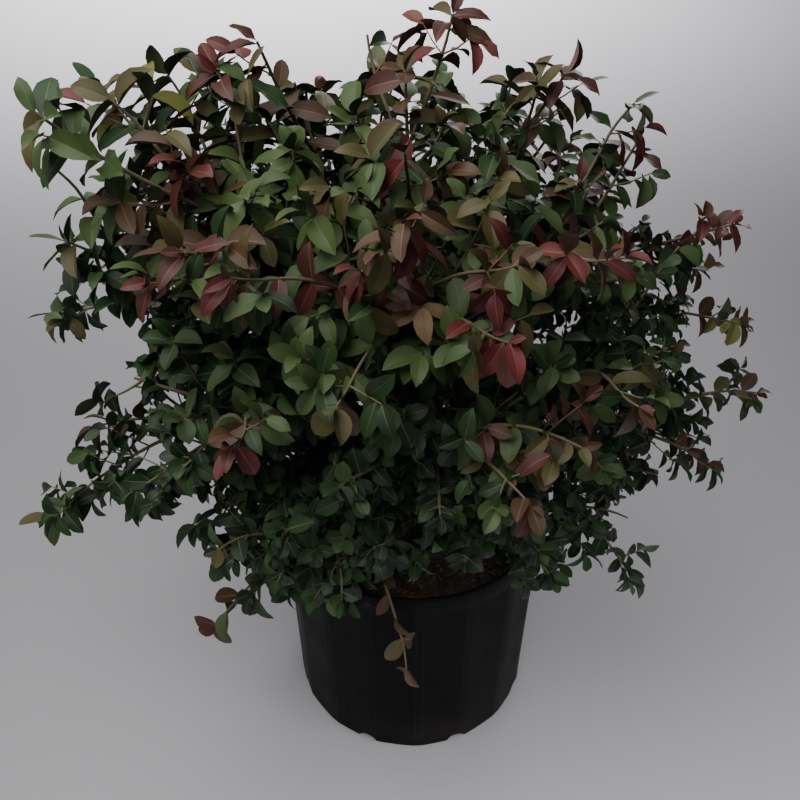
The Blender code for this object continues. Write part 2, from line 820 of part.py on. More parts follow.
def make_mass(index, mass, spaces, limbs, parts, material):
    """Grows a mass and fuses its twigs and leaves into one solid."""
    pieces = new_collection(f"{mass.name}_pieces", is_helper=True)
    grower = Grower(index, mass, spaces, limbs, pieces)
    stem = grower.grow()
    pieces.objects.unlink(stem)
    parts.objects.link(stem)
    join = stem.modifiers.new("join", "BOOLEAN")
    join.operation = "UNION"
    join.operand_type = "COLLECTION"
    join.collection = pieces
    join.solver = "MANIFOLD"
    bpy.context.view_layer.update()
    graph = bpy.context.evaluated_depsgraph_get()
    mesh = bpy.data.meshes.new_from_object(stem.evaluated_get(graph))
    mesh.name = mass.name
    scraps = largest_piece_only(mesh)
    bpy.data.objects.remove(stem, do_unlink=True)
    for item in list(pieces.objects):
        bpy.data.objects.remove(item, do_unlink=True)
    bpy.data.collections.remove(pieces)
    mesh.materials.clear()
    add_object(mass.name, mesh, parts, material)
    leaves = len(grower.leaf_middles)
    print(f"{mass.name}: {leaves} leaves, {len(mesh.polygons)} triangles, {scraps} scraps dropped")
    return leaves, len(mesh.polygons)


def main():
    remove_everything()
    parts = new_collection("potted_burning_bush")
    cutters = new_collection("cutters", is_helper=True)
    black = finish("black_moulded_plastic", (0.018, 0.018, 0.020), 0.55)
    brown = finish("potting_mix", (0.045, 0.030, 0.020), 0.95)
    bark = finish("bark", (0.16, 0.12, 0.085), 0.80)
    green = finish("leaf_green", (0.045, 0.115, 0.035), 0.50)
    red = finish("leaf_red", (0.260, 0.060, 0.050), 0.50)
    make_pot(parts, cutters, black)
    make_potting_mix(parts, brown)
    stem_cutter = make_main_stem(parts, cutters, bark)
    masses = make_masses()
    spaces = Spaces(masses)
    spread_tips(masses, spaces)
    route_boughs(masses, spaces)
    make_boughs(masses, stem_cutter, parts, cutters, bark)
    limbs = limb_samples(masses)
    total = np.zeros(2, int)
    for index, mass in enumerate(masses):
        material = red if mass.ring.name in ("upper", "top") else green
        total += make_mass(index, mass, spaces, limbs, parts, material)
    for cutter in cutters.objects:
        cutter.hide_render = True
        cutter.display_type = "WIRE"
    print(f"{total[0]} leaves and {total[1]} triangles of foliage")


main()
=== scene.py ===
# %% [markdown]
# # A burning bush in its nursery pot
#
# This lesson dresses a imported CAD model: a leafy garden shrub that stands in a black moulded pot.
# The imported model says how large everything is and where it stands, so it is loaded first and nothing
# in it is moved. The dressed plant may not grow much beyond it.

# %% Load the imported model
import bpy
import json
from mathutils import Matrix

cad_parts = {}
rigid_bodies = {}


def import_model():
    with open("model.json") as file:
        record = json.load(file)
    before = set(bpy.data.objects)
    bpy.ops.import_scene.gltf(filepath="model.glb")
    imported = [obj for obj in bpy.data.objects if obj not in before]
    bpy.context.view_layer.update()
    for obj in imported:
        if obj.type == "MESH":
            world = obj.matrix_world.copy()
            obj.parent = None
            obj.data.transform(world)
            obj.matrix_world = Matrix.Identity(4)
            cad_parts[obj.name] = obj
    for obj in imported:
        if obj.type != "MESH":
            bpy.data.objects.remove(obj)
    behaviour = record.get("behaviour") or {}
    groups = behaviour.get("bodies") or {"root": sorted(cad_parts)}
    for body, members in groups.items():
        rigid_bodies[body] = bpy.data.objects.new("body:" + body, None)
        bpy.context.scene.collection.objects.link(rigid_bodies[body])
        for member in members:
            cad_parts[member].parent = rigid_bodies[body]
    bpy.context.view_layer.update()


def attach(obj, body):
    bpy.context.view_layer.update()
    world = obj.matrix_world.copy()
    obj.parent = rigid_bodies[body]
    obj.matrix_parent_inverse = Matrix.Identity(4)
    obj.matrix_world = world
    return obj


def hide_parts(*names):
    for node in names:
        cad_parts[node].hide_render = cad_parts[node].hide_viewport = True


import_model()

# %% Tools of the lesson
import json
import math
import random
from collections import namedtuple

import bmesh
import bpy
import numpy as np
from mathutils import Matrix, Vector, noise

SEED = 43
UP = Vector((0.0, 0.0, 1.0))
scene_objects = bpy.context.scene.collection.objects


def add_object(name, mesh):
    made = bpy.data.objects.new(name, mesh)
    scene_objects.link(made)
    return made


def count_triangles(mesh):
    return sum(len(face.vertices) - 2 for face in mesh.polygons)


def report(piece):
    print(f"{piece.name}: {count_triangles(piece.data)} triangles")


print("seed", SEED)

# %% [markdown]
# ## Camera
#
# A viewer who stands in front of a potted shrub looks down on it. The lens and the tilt were worked out
# from the pot: its rim and its base are circles of a known size, and how flat each looks gives the tilt.
# A plain camera object with a fixed lens is enough, and depth of field stays off.

# %% Camera
CAMERA_PLACE = (-0.0136, -0.914, 1.213)
CAMERA_TILT_DOWN = 41.1
CAMERA_LENS = 54.0
CAMERA_SENSOR = 36.0

camera_data = bpy.data.cameras.new("camera")
camera_data.lens = CAMERA_LENS
camera_data.sensor_width = CAMERA_SENSOR
camera = bpy.data.objects.new("camera", camera_data)
camera.location = CAMERA_PLACE
camera.rotation_euler = (math.radians(90.0 - CAMERA_TILT_DOWN), 0.0, 0.0)
scene_objects.link(camera)
bpy.context.scene.camera = camera
print("camera looks down by", CAMERA_TILT_DOWN, "degrees")

# %% [markdown]
# ## Floor
#
# A photographer's plain floor has no visible end. Here it is a wide round dish: flat under the plant,
# with a rim that curls up far outside, so that the same pale ground fills the view from every side. A
# profile turned about the upright axis makes such a dish with few faces.

# %% Floor
FLOOR_FLAT_RADIUS = 2.5
FLOOR_CURL_RADIUS = 1.4
FLOOR_RIM_HEIGHT = 2.6
FLOOR_SIDES = 96
FLOOR_CURL_STEPS = 14


def turned_faces(rings, sides):
    """Quads between rings of points, each ring joined to the next and closed on itself."""
    faces = []
    for ring in range(rings - 1):
        for side in range(sides):
            beside = (side + 1) % sides
            low, high = ring * sides, (ring + 1) * sides
            faces.append((low + side, low + beside, high + beside, high + side))
    return faces


def floor_profile():
    points = [(FLOOR_FLAT_RADIUS, 0.0)]
    for step in range(1, FLOOR_CURL_STEPS + 1):
        angle = 0.5 * math.pi * step / FLOOR_CURL_STEPS
        out = FLOOR_FLAT_RADIUS + FLOOR_CURL_RADIUS * math.sin(angle)
        points.append((out, FLOOR_CURL_RADIUS * (1.0 - math.cos(angle))))
    points.append((FLOOR_FLAT_RADIUS + FLOOR_CURL_RADIUS, FLOOR_RIM_HEIGHT))
    return points


def turned_points(profile, sides):
    turns = [2.0 * math.pi * side / sides for side in range(sides)]
    return [(r * math.cos(a), r * math.sin(a), z) for r, z in profile for a in turns]


profile = floor_profile()
floor_mesh = bpy.data.meshes.new("floor")
floor_faces = [tuple(range(FLOOR_SIDES))]
floor_faces += [face[::-1] for face in turned_faces(len(profile), FLOOR_SIDES)]
floor_mesh.from_pydata(turned_points(profile, FLOOR_SIDES), [], floor_faces)
floor_mesh.shade_smooth()
floor = add_object("floor", floor_mesh)
report(floor)

# %% [markdown]
# ## Light
#
# Soft light makes soft shadows, and softness comes from the size of a lamp as the leaves see it. A wide
# panel hangs over the plant, a little to the left, so the top is bright and the leaves under it fall
# into shade. A second panel lights only the ground behind the plant, which sets its outline off.

# %% Light
Lamp = namedtuple("Lamp", "name place target width depth watts spread colour")
LAMPS = (
    Lamp("main", (-0.62, -0.04, 1.82), (-0.07, 0.0, 0.45), 1.9, 1.4, 32.0, 180.0, (1.0, 0.985, 0.97)),
    Lamp("back", (0.45, 1.35, 0.85), (0.00, 0.10, 0.48), 1.0, 0.6, 3.0, 100.0, (1.0, 0.99, 0.985)),
    Lamp("ground_front", (0.15, -0.90, 1.05), (0.15, -0.78, 0.0), 0.9, 0.5, 5.6, 84.0, (1.0, 0.985, 1.0)),
    Lamp("ground_right", (1.25, -0.55, 0.75), (0.40, -0.12, 0.0), 0.8, 0.5, 0.9, 50.0, (1.0, 0.985, 1.0)),
    Lamp("ground_behind", (-0.35, 2.45, 2.0), (-0.35, 2.35, 0.0), 1.8, 0.8, 66.0, 76.0, (1.0, 0.985, 1.0)),
)
WORLD_COLOUR = (0.80, 0.82, 0.86)
WORLD_STRENGTH = 0.22


def add_lamp(lamp):
    data = bpy.data.lights.new(f"light_{lamp.name}", "AREA")
    data.shape = "RECTANGLE"
    data.size = lamp.width
    data.size_y = lamp.depth
    data.energy = lamp.watts
    data.spread = math.radians(lamp.spread)
    data.color = lamp.colour
    light = bpy.data.objects.new(data.name, data)
    light.location = lamp.place
    aim = Vector(lamp.target) - Vector(lamp.place)
    light.rotation_euler = aim.to_track_quat("-Z", "Y").to_euler()
    light.visible_camera = False
    scene_objects.link(light)


for lamp in LAMPS:
    add_lamp(lamp)
world = bpy.data.worlds.new("soft_room")
bpy.context.scene.world = world
world.use_nodes = True
background = world.node_tree.nodes["Background"]
background.inputs["Color"].default_value = (*WORLD_COLOUR, 1.0)
background.inputs["Strength"].default_value = WORLD_STRENGTH
print(len(LAMPS), "lamps")

# %% [markdown]
# ## Nodes written in code
#
# Materials and Geometry Nodes trees are both made of nodes with wires between them. One helper adds a
# node, sets its options and feeds its inputs, each with a plain value or with another node's output.

# %% Node helpers


def add(tree, kind, settings=(), feeds=()):
    """Adds a node, sets its options, and feeds its inputs from a value or from another socket."""
    node = tree.nodes.new(kind)
    for option, value in dict(settings).items():
        setattr(node, option, value)
    for slot, value in dict(feeds).items():
        if isinstance(value, bpy.types.NodeSocket):
            tree.links.new(value, node.inputs[slot])
        else:
            node.inputs[slot].default_value = value
    return node


def calculate(tree, operation, *values):
    return add(tree, "ShaderNodeMath", {"operation": operation}, dict(enumerate(values))).outputs[0]


def new_material(name, colour, roughness, specular=0.5):
    """A material with one Principled shader, ready to take a pattern."""
    material = bpy.data.materials.new(name)
    material.use_nodes = True
    shader = material.node_tree.nodes["Principled BSDF"]
    shader.inputs["Base Color"].default_value = (*colour, 1.0)
    shader.inputs["Roughness"].default_value = roughness
    shader.inputs["Specular IOR Level"].default_value = specular
    material.diffuse_color = (*colour, 1.0)
    return material, material.node_tree, shader


def new_group(name, kind, inputs, outputs):
    """A node group with named sockets; each is (name, kind of socket, starting value)."""
    group = bpy.data.node_groups.new(name, kind)
    for label, socket_type, value in inputs:
        socket = group.interface.new_socket(label, in_out="INPUT", socket_type=socket_type)
        if value is not None:
            socket.default_value = value
    for label, socket_type in outputs:
        group.interface.new_socket(label, in_out="OUTPUT", socket_type=socket_type)
    entry = group.nodes.new("NodeGroupInput")
    leave = group.nodes.new("NodeGroupOutput")
    return group, entry.outputs, leave.inputs


def use_group(tree, group, feeds=()):
    node = tree.nodes.new("ShaderNodeGroup")
    node.node_tree = group
    for slot, value in dict(feeds).items():
        if isinstance(value, bpy.types.NodeSocket):
            tree.links.new(value, node.inputs[slot])
        else:
            node.inputs[slot].default_value = value
    return node.outputs


FLOAT, COLOUR, VECTOR = "NodeSocketFloat", "NodeSocketColor", "NodeSocketVector"
INT, GEOMETRY, MATERIAL = "NodeSocketInt", "NodeSocketGeometry", "NodeSocketMaterial"
print("node helpers ready")

# %% [markdown]
# ## Grain and blotches
#
# Moulded plastic, bark and soil all have a fine grain and larger, softer patches. Both come from the same
# noise at different sizes, so one group makes them once for every material. It gives two masks between
# 0 and 1 and a normal from a bump; the shader itself stays in each material.

# %% Shared surface group
grain_group, grain_in, grain_out = new_group(
    "grain_and_blotches",
    "ShaderNodeTree",
    [
        ("Place", VECTOR, None),
        ("Grain scale", FLOAT, 900.0),
        ("Blotch scale", FLOAT, 14.0),
        ("Depth", FLOAT, 0.0002),
        ("Strength", FLOAT, 0.3),
    ],
    [("Grain", FLOAT), ("Blotches", FLOAT), ("Normal", VECTOR)],
)
fine = add(
    grain_group,
    "ShaderNodeTexNoise",
    feeds={"Vector": grain_in["Place"], "Scale": grain_in["Grain scale"], "Detail": 3.0},
)
wide = add(
    grain_group,
    "ShaderNodeTexNoise",
    feeds={"Vector": grain_in["Place"], "Scale": grain_in["Blotch scale"], "Detail": 4.0},
)
clear_blotches = add(
    grain_group,
    "ShaderNodeMapRange",
    feeds={"Value": wide.outputs["Fac"], "From Min": 0.35, "From Max": 0.65},
)
grain_bump = add(
    grain_group,
    "ShaderNodeBump",
    feeds={
        "Height": fine.outputs["Fac"],
        "Strength": grain_in["Strength"],
        "Distance": grain_in["Depth"],
    },
)
grain_group.links.new(fine.outputs["Fac"], grain_out["Grain"])
grain_group.links.new(clear_blotches.outputs["Result"], grain_out["Blotches"])
grain_group.links.new(grain_bump.outputs["Normal"], grain_out["Normal"])
print("group:", grain_group.name)

# %% [markdown]
# ## Pale ground
#
# The floor is painted studio board: almost white, matt, with nothing to see in it. A touch of very wide
# unevenness in its roughness keeps it from looking like a computer's plane.

# %% Floor material
floor_finish, tree, shader = new_material("pale_ground", (0.37, 0.361, 0.379), 0.85, 0.2)
place = add(tree, "ShaderNodeTexCoord").outputs["Object"]
ground = use_group(tree, grain_group, {"Place": place, "Grain scale": 60.0, "Blotch scale": 1.3})
uneven = calculate(tree, "MULTIPLY_ADD", ground["Blotches"], 0.10, 0.80)
tree.links.new(uneven, shader.inputs["Roughness"])
floor_mesh.materials.append(floor_finish)
print("floor material ready")

# %% [markdown]
# ## Nursery pot
#
# The pot is blow-moulded from thin black plastic. Its wall is sixteen flat panels that meet in soft
# upright creases, it narrows a little towards the base so that pots stack, and a round band stiffens
# its rim. It could be cut from a block with modifiers. Turning one closed profile about the axis is
# shorter and gives clean faces: a number for each point of the profile says how far the
# panels flatten it there, so the rim stays round while the wall below it has its panels.

# %% Pot shape
POT_HEIGHT = 0.280
POT_BASE_RADIUS = 0.134
POT_WALL_TOP_RADIUS = 0.1435
POT_LIP_RADIUS = 0.148
POT_LIP_DEPTH = 0.021
POT_WALL = 0.0025
POT_FLOOR = 0.003
POT_PANELS = 16
POT_TURN = 3.0
POT_SIDES = 320
POT_CORNER = 0.0045
PANEL_FLATNESS = 1.0
PANEL_CREASE = 0.0020
CREASE_WIDTH = 0.024


def wall_radius(height):
    """Radius of the pot's outer wall at its panels' corners."""
    share = height / POT_HEIGHT
    return POT_BASE_RADIUS + (POT_WALL_TOP_RADIUS - POT_BASE_RADIUS) * share


def arc(middle, radius, first, last, steps):
    """Points of a rounded edge in the profile, as (radius, height)."""
    points = []
    for step in range(steps + 1):
        angle = math.radians(first + (last - first) * step / steps)
        points.append((middle[0] + radius * math.cos(angle), middle[1] + radius * math.sin(angle)))
    return points


def pot_profile():
    """The closed profile from the middle of the underside, up the outside, and down the inside."""
    low = POT_HEIGHT - POT_LIP_DEPTH
    base = wall_radius(0.0)
    points = [(0.020, 0.0016, 0.0), (0.100, 0.0016, 0.0), (0.104, 0.0, 0.0)]
    corner = arc((base - POT_CORNER, POT_CORNER), POT_CORNER, -90.0, 0.0, 5)
    points += [(r, z, 0.6) for r, z in corner]
    heights = (0.012, 0.030, 0.060, 0.100, 0.140, 0.180, 0.215, 0.240, low - 0.008)
    points += [(wall_radius(z), z, 1.0) for z in heights]
    points.append((wall_radius(low) + 0.0002, low - 0.003, 0.6))
    points.append((POT_LIP_RADIUS - 0.0022, low - 0.0012, 0.1))
    points += [(r, z, 0.0) for r, z in arc((POT_LIP_RADIUS - 0.0022, low + 0.001), 0.0018, -90.0, 0.0, 3)]
    points.append((POT_LIP_RADIUS - 0.0004, POT_HEIGHT - 0.010, 0.0))
    points += [(r, z, 0.0) for r, z in arc((POT_LIP_RADIUS - 0.0026, POT_HEIGHT - 0.0026), 0.0026, 0.0, 180.0, 8)]
    points.append((wall_radius(POT_HEIGHT) - POT_WALL, POT_HEIGHT - 0.012, 0.3))
    inner = (low - 0.004, 0.200, 0.120, 0.050, 0.012)
    points += [(wall_radius(z) - POT_WALL, z, 1.0) for z in inner]
    points += [(base - 0.0045, POT_FLOOR + 0.001, 0.8), (base - 0.010, POT_FLOOR, 0.5)]
    points += [(0.100, POT_FLOOR, 0.0), (0.020, POT_FLOOR, 0.0)]
    return points


def panel_factor(azimuth):
    """How far in the wall stands at an azimuth: 1 at a crease, less in the middle of a flat panel."""
    panel = 360.0 / POT_PANELS
    off = (azimuth - POT_TURN + 0.5 * panel) % panel - 0.5 * panel
    inward = 0.5 * panel - abs(off)
    flat = math.cos(math.radians(0.5 * panel)) / math.cos(math.radians(inward))
    return 1.0 - PANEL_FLATNESS * (1.0 - flat), off


def pot_point(radius, height, flatness, azimuth):
    factor, off = panel_factor(azimuth)
    crease = math.exp(-((math.radians(off) / CREASE_WIDTH) ** 2))
    out = radius * (1.0 + (factor - 1.0) * flatness) - PANEL_CREASE * crease * flatness * 0.5
    angle = math.radians(azimuth)
    return (out * math.cos(angle), out * math.sin(angle), height)


profile = pot_profile()
pot_mesh = bpy.data.meshes.new("pot_body")
turns = [POT_TURN + 360.0 * side / POT_SIDES for side in range(POT_SIDES)]
pot_points = [pot_point(r, z, flat, azimuth) for r, z, flat in profile for azimuth in turns]
pot_faces = turned_faces(len(profile), POT_SIDES)
last_ring = (len(profile) - 1) * POT_SIDES
pot_faces.append(tuple(range(POT_SIDES))[::-1])
pot_faces.append(tuple(range(last_ring, last_ring + POT_SIDES)))
pot_mesh.from_pydata(pot_points, [], pot_faces)
pot = add_object("pot_body", pot_mesh)
report(pot)

# %% [markdown]
# ## Drain holes
#
# Water leaves through eight half-round notches where the wall meets the base. They repeat round a circle,
# so Geometry Nodes lay out eight round bars on the points of a circle, and a Boolean takes the bars
# away from the pot. One small tree does the layout, whatever the number of notches.

# %% Drain notches
DRAIN_COUNT = 8
DRAIN_RADIUS = 0.011
DRAIN_DEPTH = 0.016
DRAIN_TURN = 22.5

bars, bars_in, bars_out = new_group(
    "ring_of_bars",
    "GeometryNodeTree",
    [
        ("Geometry", GEOMETRY, None),
        ("Count", INT, DRAIN_COUNT),
        ("Ring radius", FLOAT, POT_BASE_RADIUS),
        ("Bar radius", FLOAT, DRAIN_RADIUS),
        ("Bar length", FLOAT, 2.0 * DRAIN_DEPTH),
        ("Material", MATERIAL, None),
    ],
    [("Geometry", GEOMETRY)],
)
ring = add(
    bars, "GeometryNodeMeshCircle", feeds={"Vertices": bars_in["Count"], "Radius": bars_in["Ring radius"]}
)
bar = add(
    bars,
    "GeometryNodeMeshCylinder",
    feeds={"Vertices": 24, "Radius": bars_in["Bar radius"], "Depth": bars_in["Bar length"]},
)
outward = add(bars, "GeometryNodeInputPosition").outputs["Position"]
aim = add(bars, "FunctionNodeAlignRotationToVector", {"axis": "Z"}, {"Vector": outward})
laid = add(
    bars,
    "GeometryNodeInstanceOnPoints",
    feeds={"Points": ring.outputs[0], "Instance": bar.outputs["Mesh"], "Rotation": aim.outputs[0]},
)
turn_ring = add(
    bars,
    "GeometryNodeTransform",
    feeds={"Geometry": laid.outputs[0], "Rotation": (0.0, 0.0, math.radians(DRAIN_TURN))},
)
whole = add(bars, "GeometryNodeRealizeInstances", feeds={"Geometry": turn_ring.outputs[0]})
painted = add(
    bars,
    "GeometryNodeSetMaterial",
    feeds={"Geometry": whole.outputs[0], "Material": bars_in["Material"]},
)
bars.links.new(painted.outputs[0], bars_out["Geometry"])


def set_inputs(modifier, values):
    """Sets a Geometry Nodes modifier's inputs by their sockets' identifiers."""
    for item in modifier.node_group.interface.items_tree:
        if item.item_type == "SOCKET" and item.in_out == "INPUT" and item.name in values:
            modifier[item.identifier] = values[item.name]


def apply_nodes(piece, group, values):
    """Runs a Geometry Nodes tree on an object once and keeps the result as its plain mesh."""
    modifier = piece.modifiers.new(group.name, "NODES")
    modifier.node_group = group
    set_inputs(modifier, values)
    return keep_result(piece)


def keep_result(piece):
    """Replaces an object's mesh with what its modifiers make of it."""
    graph = bpy.context.evaluated_depsgraph_get()
    mesh = bpy.data.meshes.new_from_object(piece.evaluated_get(graph), depsgraph=graph)
    piece.modifiers.clear()
    mesh.name = piece.name
    piece.data = mesh
    return mesh


drain_bars = add_object("drain_bars", bpy.data.meshes.new("drain_bars"))
apply_nodes(drain_bars, bars, {"Count": DRAIN_COUNT})
cut = pot.modifiers.new("drains", "BOOLEAN")
cut.operation = "DIFFERENCE"
cut.solver = "EXACT"
cut.object = drain_bars
pot_mesh = keep_result(pot)
bpy.data.objects.remove(drain_bars, do_unlink=True)
pot_mesh.shade_smooth()
pot_mesh.set_sharp_from_angle(angle=math.radians(38.0))
report(pot)

# %% [markdown]
# ## Black plastic
#
# New pot plastic is a soft black with a satin gloss. Handling leaves faint upright scuffs on
# the panels, and dust settles near the base. All of that is a matter of degree: scuffs and dust are masks
# that lift the colour a little and make the surface rougher. Upright scuffs are noise squeezed along
# the height, so each blotch becomes a streak. A thin lighter line just beside each crease is a painted
# highlight, where the crease would catch the light; it lifts the colour in the same way as the scuffs.

# %% Pot material
CREASE_HIGHLIGHT_ANGLE = 0.028
CREASE_HIGHLIGHT_WIDTH = 0.012

pot_finish, tree, shader = new_material("black_moulded_plastic", (0.0036, 0.0032, 0.0033), 0.48, 0.07)
place = add(tree, "ShaderNodeTexCoord").outputs["Object"]
skin = use_group(
    tree,
    grain_group,
    {"Place": place, "Grain scale": 1400.0, "Blotch scale": 22.0, "Depth": 0.0003, "Strength": 0.25},
)
squeeze = add(tree, "ShaderNodeMapping", feeds={"Vector": place, "Scale": (160.0, 160.0, 9.0)})
streaks = add(
    tree, "ShaderNodeTexNoise", feeds={"Vector": squeeze.outputs[0], "Scale": 1.0, "Detail": 4.0}
)
scuffs = add(
    tree,
    "ShaderNodeMapRange",
    feeds={"Value": streaks.outputs["Fac"], "From Min": 0.58, "From Max": 0.80},
).outputs["Result"]
place_parts = add(tree, "ShaderNodeSeparateXYZ", feeds={"Vector": place}).outputs
height = place_parts["Z"]
azimuth = calculate(tree, "ARCTAN2", place_parts["Y"], place_parts["X"])
azimuth = calculate(tree, "SUBTRACT", azimuth, math.radians(POT_TURN))
beside_crease = calculate(tree, "PINGPONG", azimuth, math.pi / POT_PANELS)
# Painted highlight: a thin lighter line just beside each crease, where the crease would catch the light.
off_crease_highlight = calculate(tree, "ABSOLUTE", calculate(tree, "SUBTRACT", beside_crease, CREASE_HIGHLIGHT_ANGLE))
painted_crease_highlight = add(
    tree, "ShaderNodeMapRange", feeds={"Value": off_crease_highlight, "From Min": CREASE_HIGHLIGHT_WIDTH, "From Max": 0.0}
).outputs["Result"]
near_base = add(
    tree, "ShaderNodeMapRange", feeds={"Value": height, "From Min": 0.075, "From Max": 0.0}
).outputs["Result"]
dust = calculate(tree, "MULTIPLY", near_base, skin["Blotches"])
scuff_and_highlight_share = calculate(tree, "MULTIPLY", scuffs, 0.45)
# The real scuffs and the painted crease highlight lift the colour towards the same lighter black.
scuff_and_highlight_share = calculate(tree, "MULTIPLY_ADD", painted_crease_highlight, 0.55, scuff_and_highlight_share)
dust_share = calculate(tree, "MULTIPLY", dust, 0.16)
scuffed_and_highlit = add(
    tree,
    "ShaderNodeMix",
    {"data_type": "RGBA"},
    {0: scuff_and_highlight_share, 6: (0.0030, 0.0027, 0.0028, 1.0), 7: (0.012, 0.0110, 0.0112, 1.0)},
)
dusty = add(
    tree,
    "ShaderNodeMix",
    {"data_type": "RGBA"},
    {0: dust_share, 6: scuffed_and_highlit.outputs[2], 7: (0.10, 0.085, 0.07, 1.0)},
)
tree.links.new(dusty.outputs[2], shader.inputs["Base Color"])
rough = calculate(tree, "MULTIPLY_ADD", skin["Blotches"], 0.08, 0.42)
rough = calculate(tree, "MULTIPLY_ADD", scuffs, 0.18, rough)
tree.links.new(rough, shader.inputs["Roughness"])
tree.links.new(skin["Normal"], shader.inputs["Normal"])
pot_mesh.materials.clear()
pot_mesh.materials.append(pot_finish)
print("pot material ready")

# %% [markdown]
# ## Potting mix
#
# The pot is filled to a finger's breadth below its rim with composted bark. Its top is uneven and
# heaped a little round the stem. The filling is one closed body, because soil that is only a sheet
# looks hollow through the drain holes. Noise lifts the top's points; the sides follow the pot's wall.

# %% Potting mix body
MIX_TOP = 0.252
MIX_GAP = 0.0004
MIX_RINGS = 26
MIX_SIDES = 96
MIX_HEAP = 0.004
MIX_LUMPS = 0.0022
MIX_LUMP_SIZE = 0.016
STEM_CLEAR = 0.030


def mix_edge(height, azimuth):
    """Radius of the filling just inside the pot's wall."""
    factor, _ = panel_factor(azimuth)
    return (wall_radius(height) - POT_WALL) * factor - MIX_GAP


def mix_height(x, y):
    """Height of the uneven top: never above the solid's top near the stem's cut."""
    lumps = noise.fractal(Vector((x, y, 0.5)) / MIX_LUMP_SIZE, 0.9, 2.0, 4)
    distance = math.hypot(x, y)
    heap = MIX_HEAP * math.exp(-((distance / 0.06) ** 2))
    calm = min(1.0, distance / STEM_CLEAR)
    return MIX_TOP - MIX_HEAP + heap + MIX_LUMPS * lumps * calm


mix_points = [(0.0, 0.0, mix_height(0.0, 0.0))]
mix_turns = [360.0 * side / MIX_SIDES for side in range(MIX_SIDES)]
for step in range(1, MIX_RINGS + 1):
    for azimuth in mix_turns:
        r = mix_edge(MIX_TOP, azimuth) * step / MIX_RINGS
        x, y = r * math.cos(math.radians(azimuth)), r * math.sin(math.radians(azimuth))
        mix_points.append((x, y, mix_height(x, y)))
for low in (0.12, POT_FLOOR + MIX_GAP):
    for azimuth in mix_turns:
        r = mix_edge(low, azimuth) - (0.004 if low < 0.01 else 0.0)
        mix_points.append((r * math.cos(math.radians(azimuth)), r * math.sin(math.radians(azimuth)), low))
mix_faces = [(0, 1 + side, 1 + (side + 1) % MIX_SIDES) for side in range(MIX_SIDES)]
for face in turned_faces(MIX_RINGS + 2, MIX_SIDES):
    mix_faces.append(tuple(1 + corner for corner in face[::-1]))
last_ring = 1 + (MIX_RINGS + 1) * MIX_SIDES
mix_faces.append(tuple(range(last_ring, last_ring + MIX_SIDES))[::-1])
mix_mesh = bpy.data.meshes.new("mix_body")
mix_mesh.from_pydata(mix_points, [], mix_faces)
mix_mesh.shade_smooth()
mix_mesh.set_sharp_from_angle(angle=math.radians(50.0))
mix = add_object("mix_body", mix_mesh)
report(mix)

# %% [markdown]
# ## Crumbs of bark
#
# Close up, potting mix is thousands of small chips. They lie on a surface at random, which is what
# Distribute Points on Faces is for: it drops points with a least distance between them, each gets one of
# a few chip shapes, turned and sized at random from a fixed seed. Each chip is a twisted block of a few
# faces, because there are so many.

# %% Chips on the potting mix
CHIP_SHAPES = 4
CHIP_DISTANCE = 0.0042
CHIP_DENSITY = 60000.0
chip_random = random.Random(SEED)
chip_shapes = bpy.data.collections.new("chip_shapes")


def chip_mesh(number):
    """A rough flat block with its corners moved about."""
    work = bmesh.new()
    bmesh.ops.create_icosphere(work, subdivisions=1, radius=1.0)
    for vert in work.verts:
        shift = [chip_random.uniform(-0.28, 0.28) for _ in range(3)]
        vert.co = Vector((vert.co.x * 1.0, vert.co.y * 0.55, vert.co.z * 0.3)) + Vector(shift) * 0.45
    mesh = bpy.data.meshes.new(f"chip_{number}")
    work.to_mesh(mesh)
    work.free()
    return mesh


for number in range(CHIP_SHAPES):
    chip = bpy.data.objects.new(f"chip_{number}", chip_mesh(number))
    chip_shapes.objects.link(chip)

scatter, scatter_in, scatter_out = new_group(
    "scattered_chips",
    "GeometryNodeTree",
    [
        ("Geometry", GEOMETRY, None),
        ("Shapes", "NodeSocketCollection", None),
        ("Least distance", FLOAT, CHIP_DISTANCE),
        ("Density", FLOAT, CHIP_DENSITY),
        ("Smallest", FLOAT, 0.0014),
        ("Largest", FLOAT, 0.0050),
        ("Seed", INT, SEED),
        ("Material", MATERIAL, None),
    ],
    [("Geometry", GEOMETRY)],
)
normal = add(scatter, "GeometryNodeInputNormal").outputs["Normal"]
upward = add(scatter, "ShaderNodeSeparateXYZ", feeds={"Vector": normal}).outputs["Z"]
is_top = add(scatter, "FunctionNodeCompare", {"operation": "GREATER_THAN"}, {0: upward, 1: 0.6})
dropped = add(
    scatter,
    "GeometryNodeDistributePointsOnFaces",
    {"distribute_method": "POISSON"},
    {
        "Mesh": scatter_in["Geometry"],
        "Selection": is_top.outputs[0],
        "Distance Min": scatter_in["Least distance"],
        "Density Max": scatter_in["Density"],
        "Seed": scatter_in["Seed"],
    },
)
chosen = add(
    scatter,
    "GeometryNodeCollectionInfo",
    feeds={"Collection": scatter_in["Shapes"], "Separate Children": True, "Reset Children": True},
)
which = add(
    scatter, "FunctionNodeRandomValue", {"data_type": "INT"}, {"Seed": scatter_in["Seed"]}
)
which.inputs[4].default_value = 0
which.inputs[5].default_value = CHIP_SHAPES - 1
spin = add(scatter, "FunctionNodeRandomValue", {"data_type": "FLOAT_VECTOR"}, {"Seed": 7})
spin.inputs[0].default_value = (-0.5, -0.5, 0.0)
spin.inputs[1].default_value = (0.5, 0.5, 2.0 * math.pi)
measure = add(scatter, "FunctionNodeRandomValue", {"data_type": "FLOAT"}, {"Seed": 11})
scatter.links.new(scatter_in["Smallest"], measure.inputs[2])
scatter.links.new(scatter_in["Largest"], measure.inputs[3])
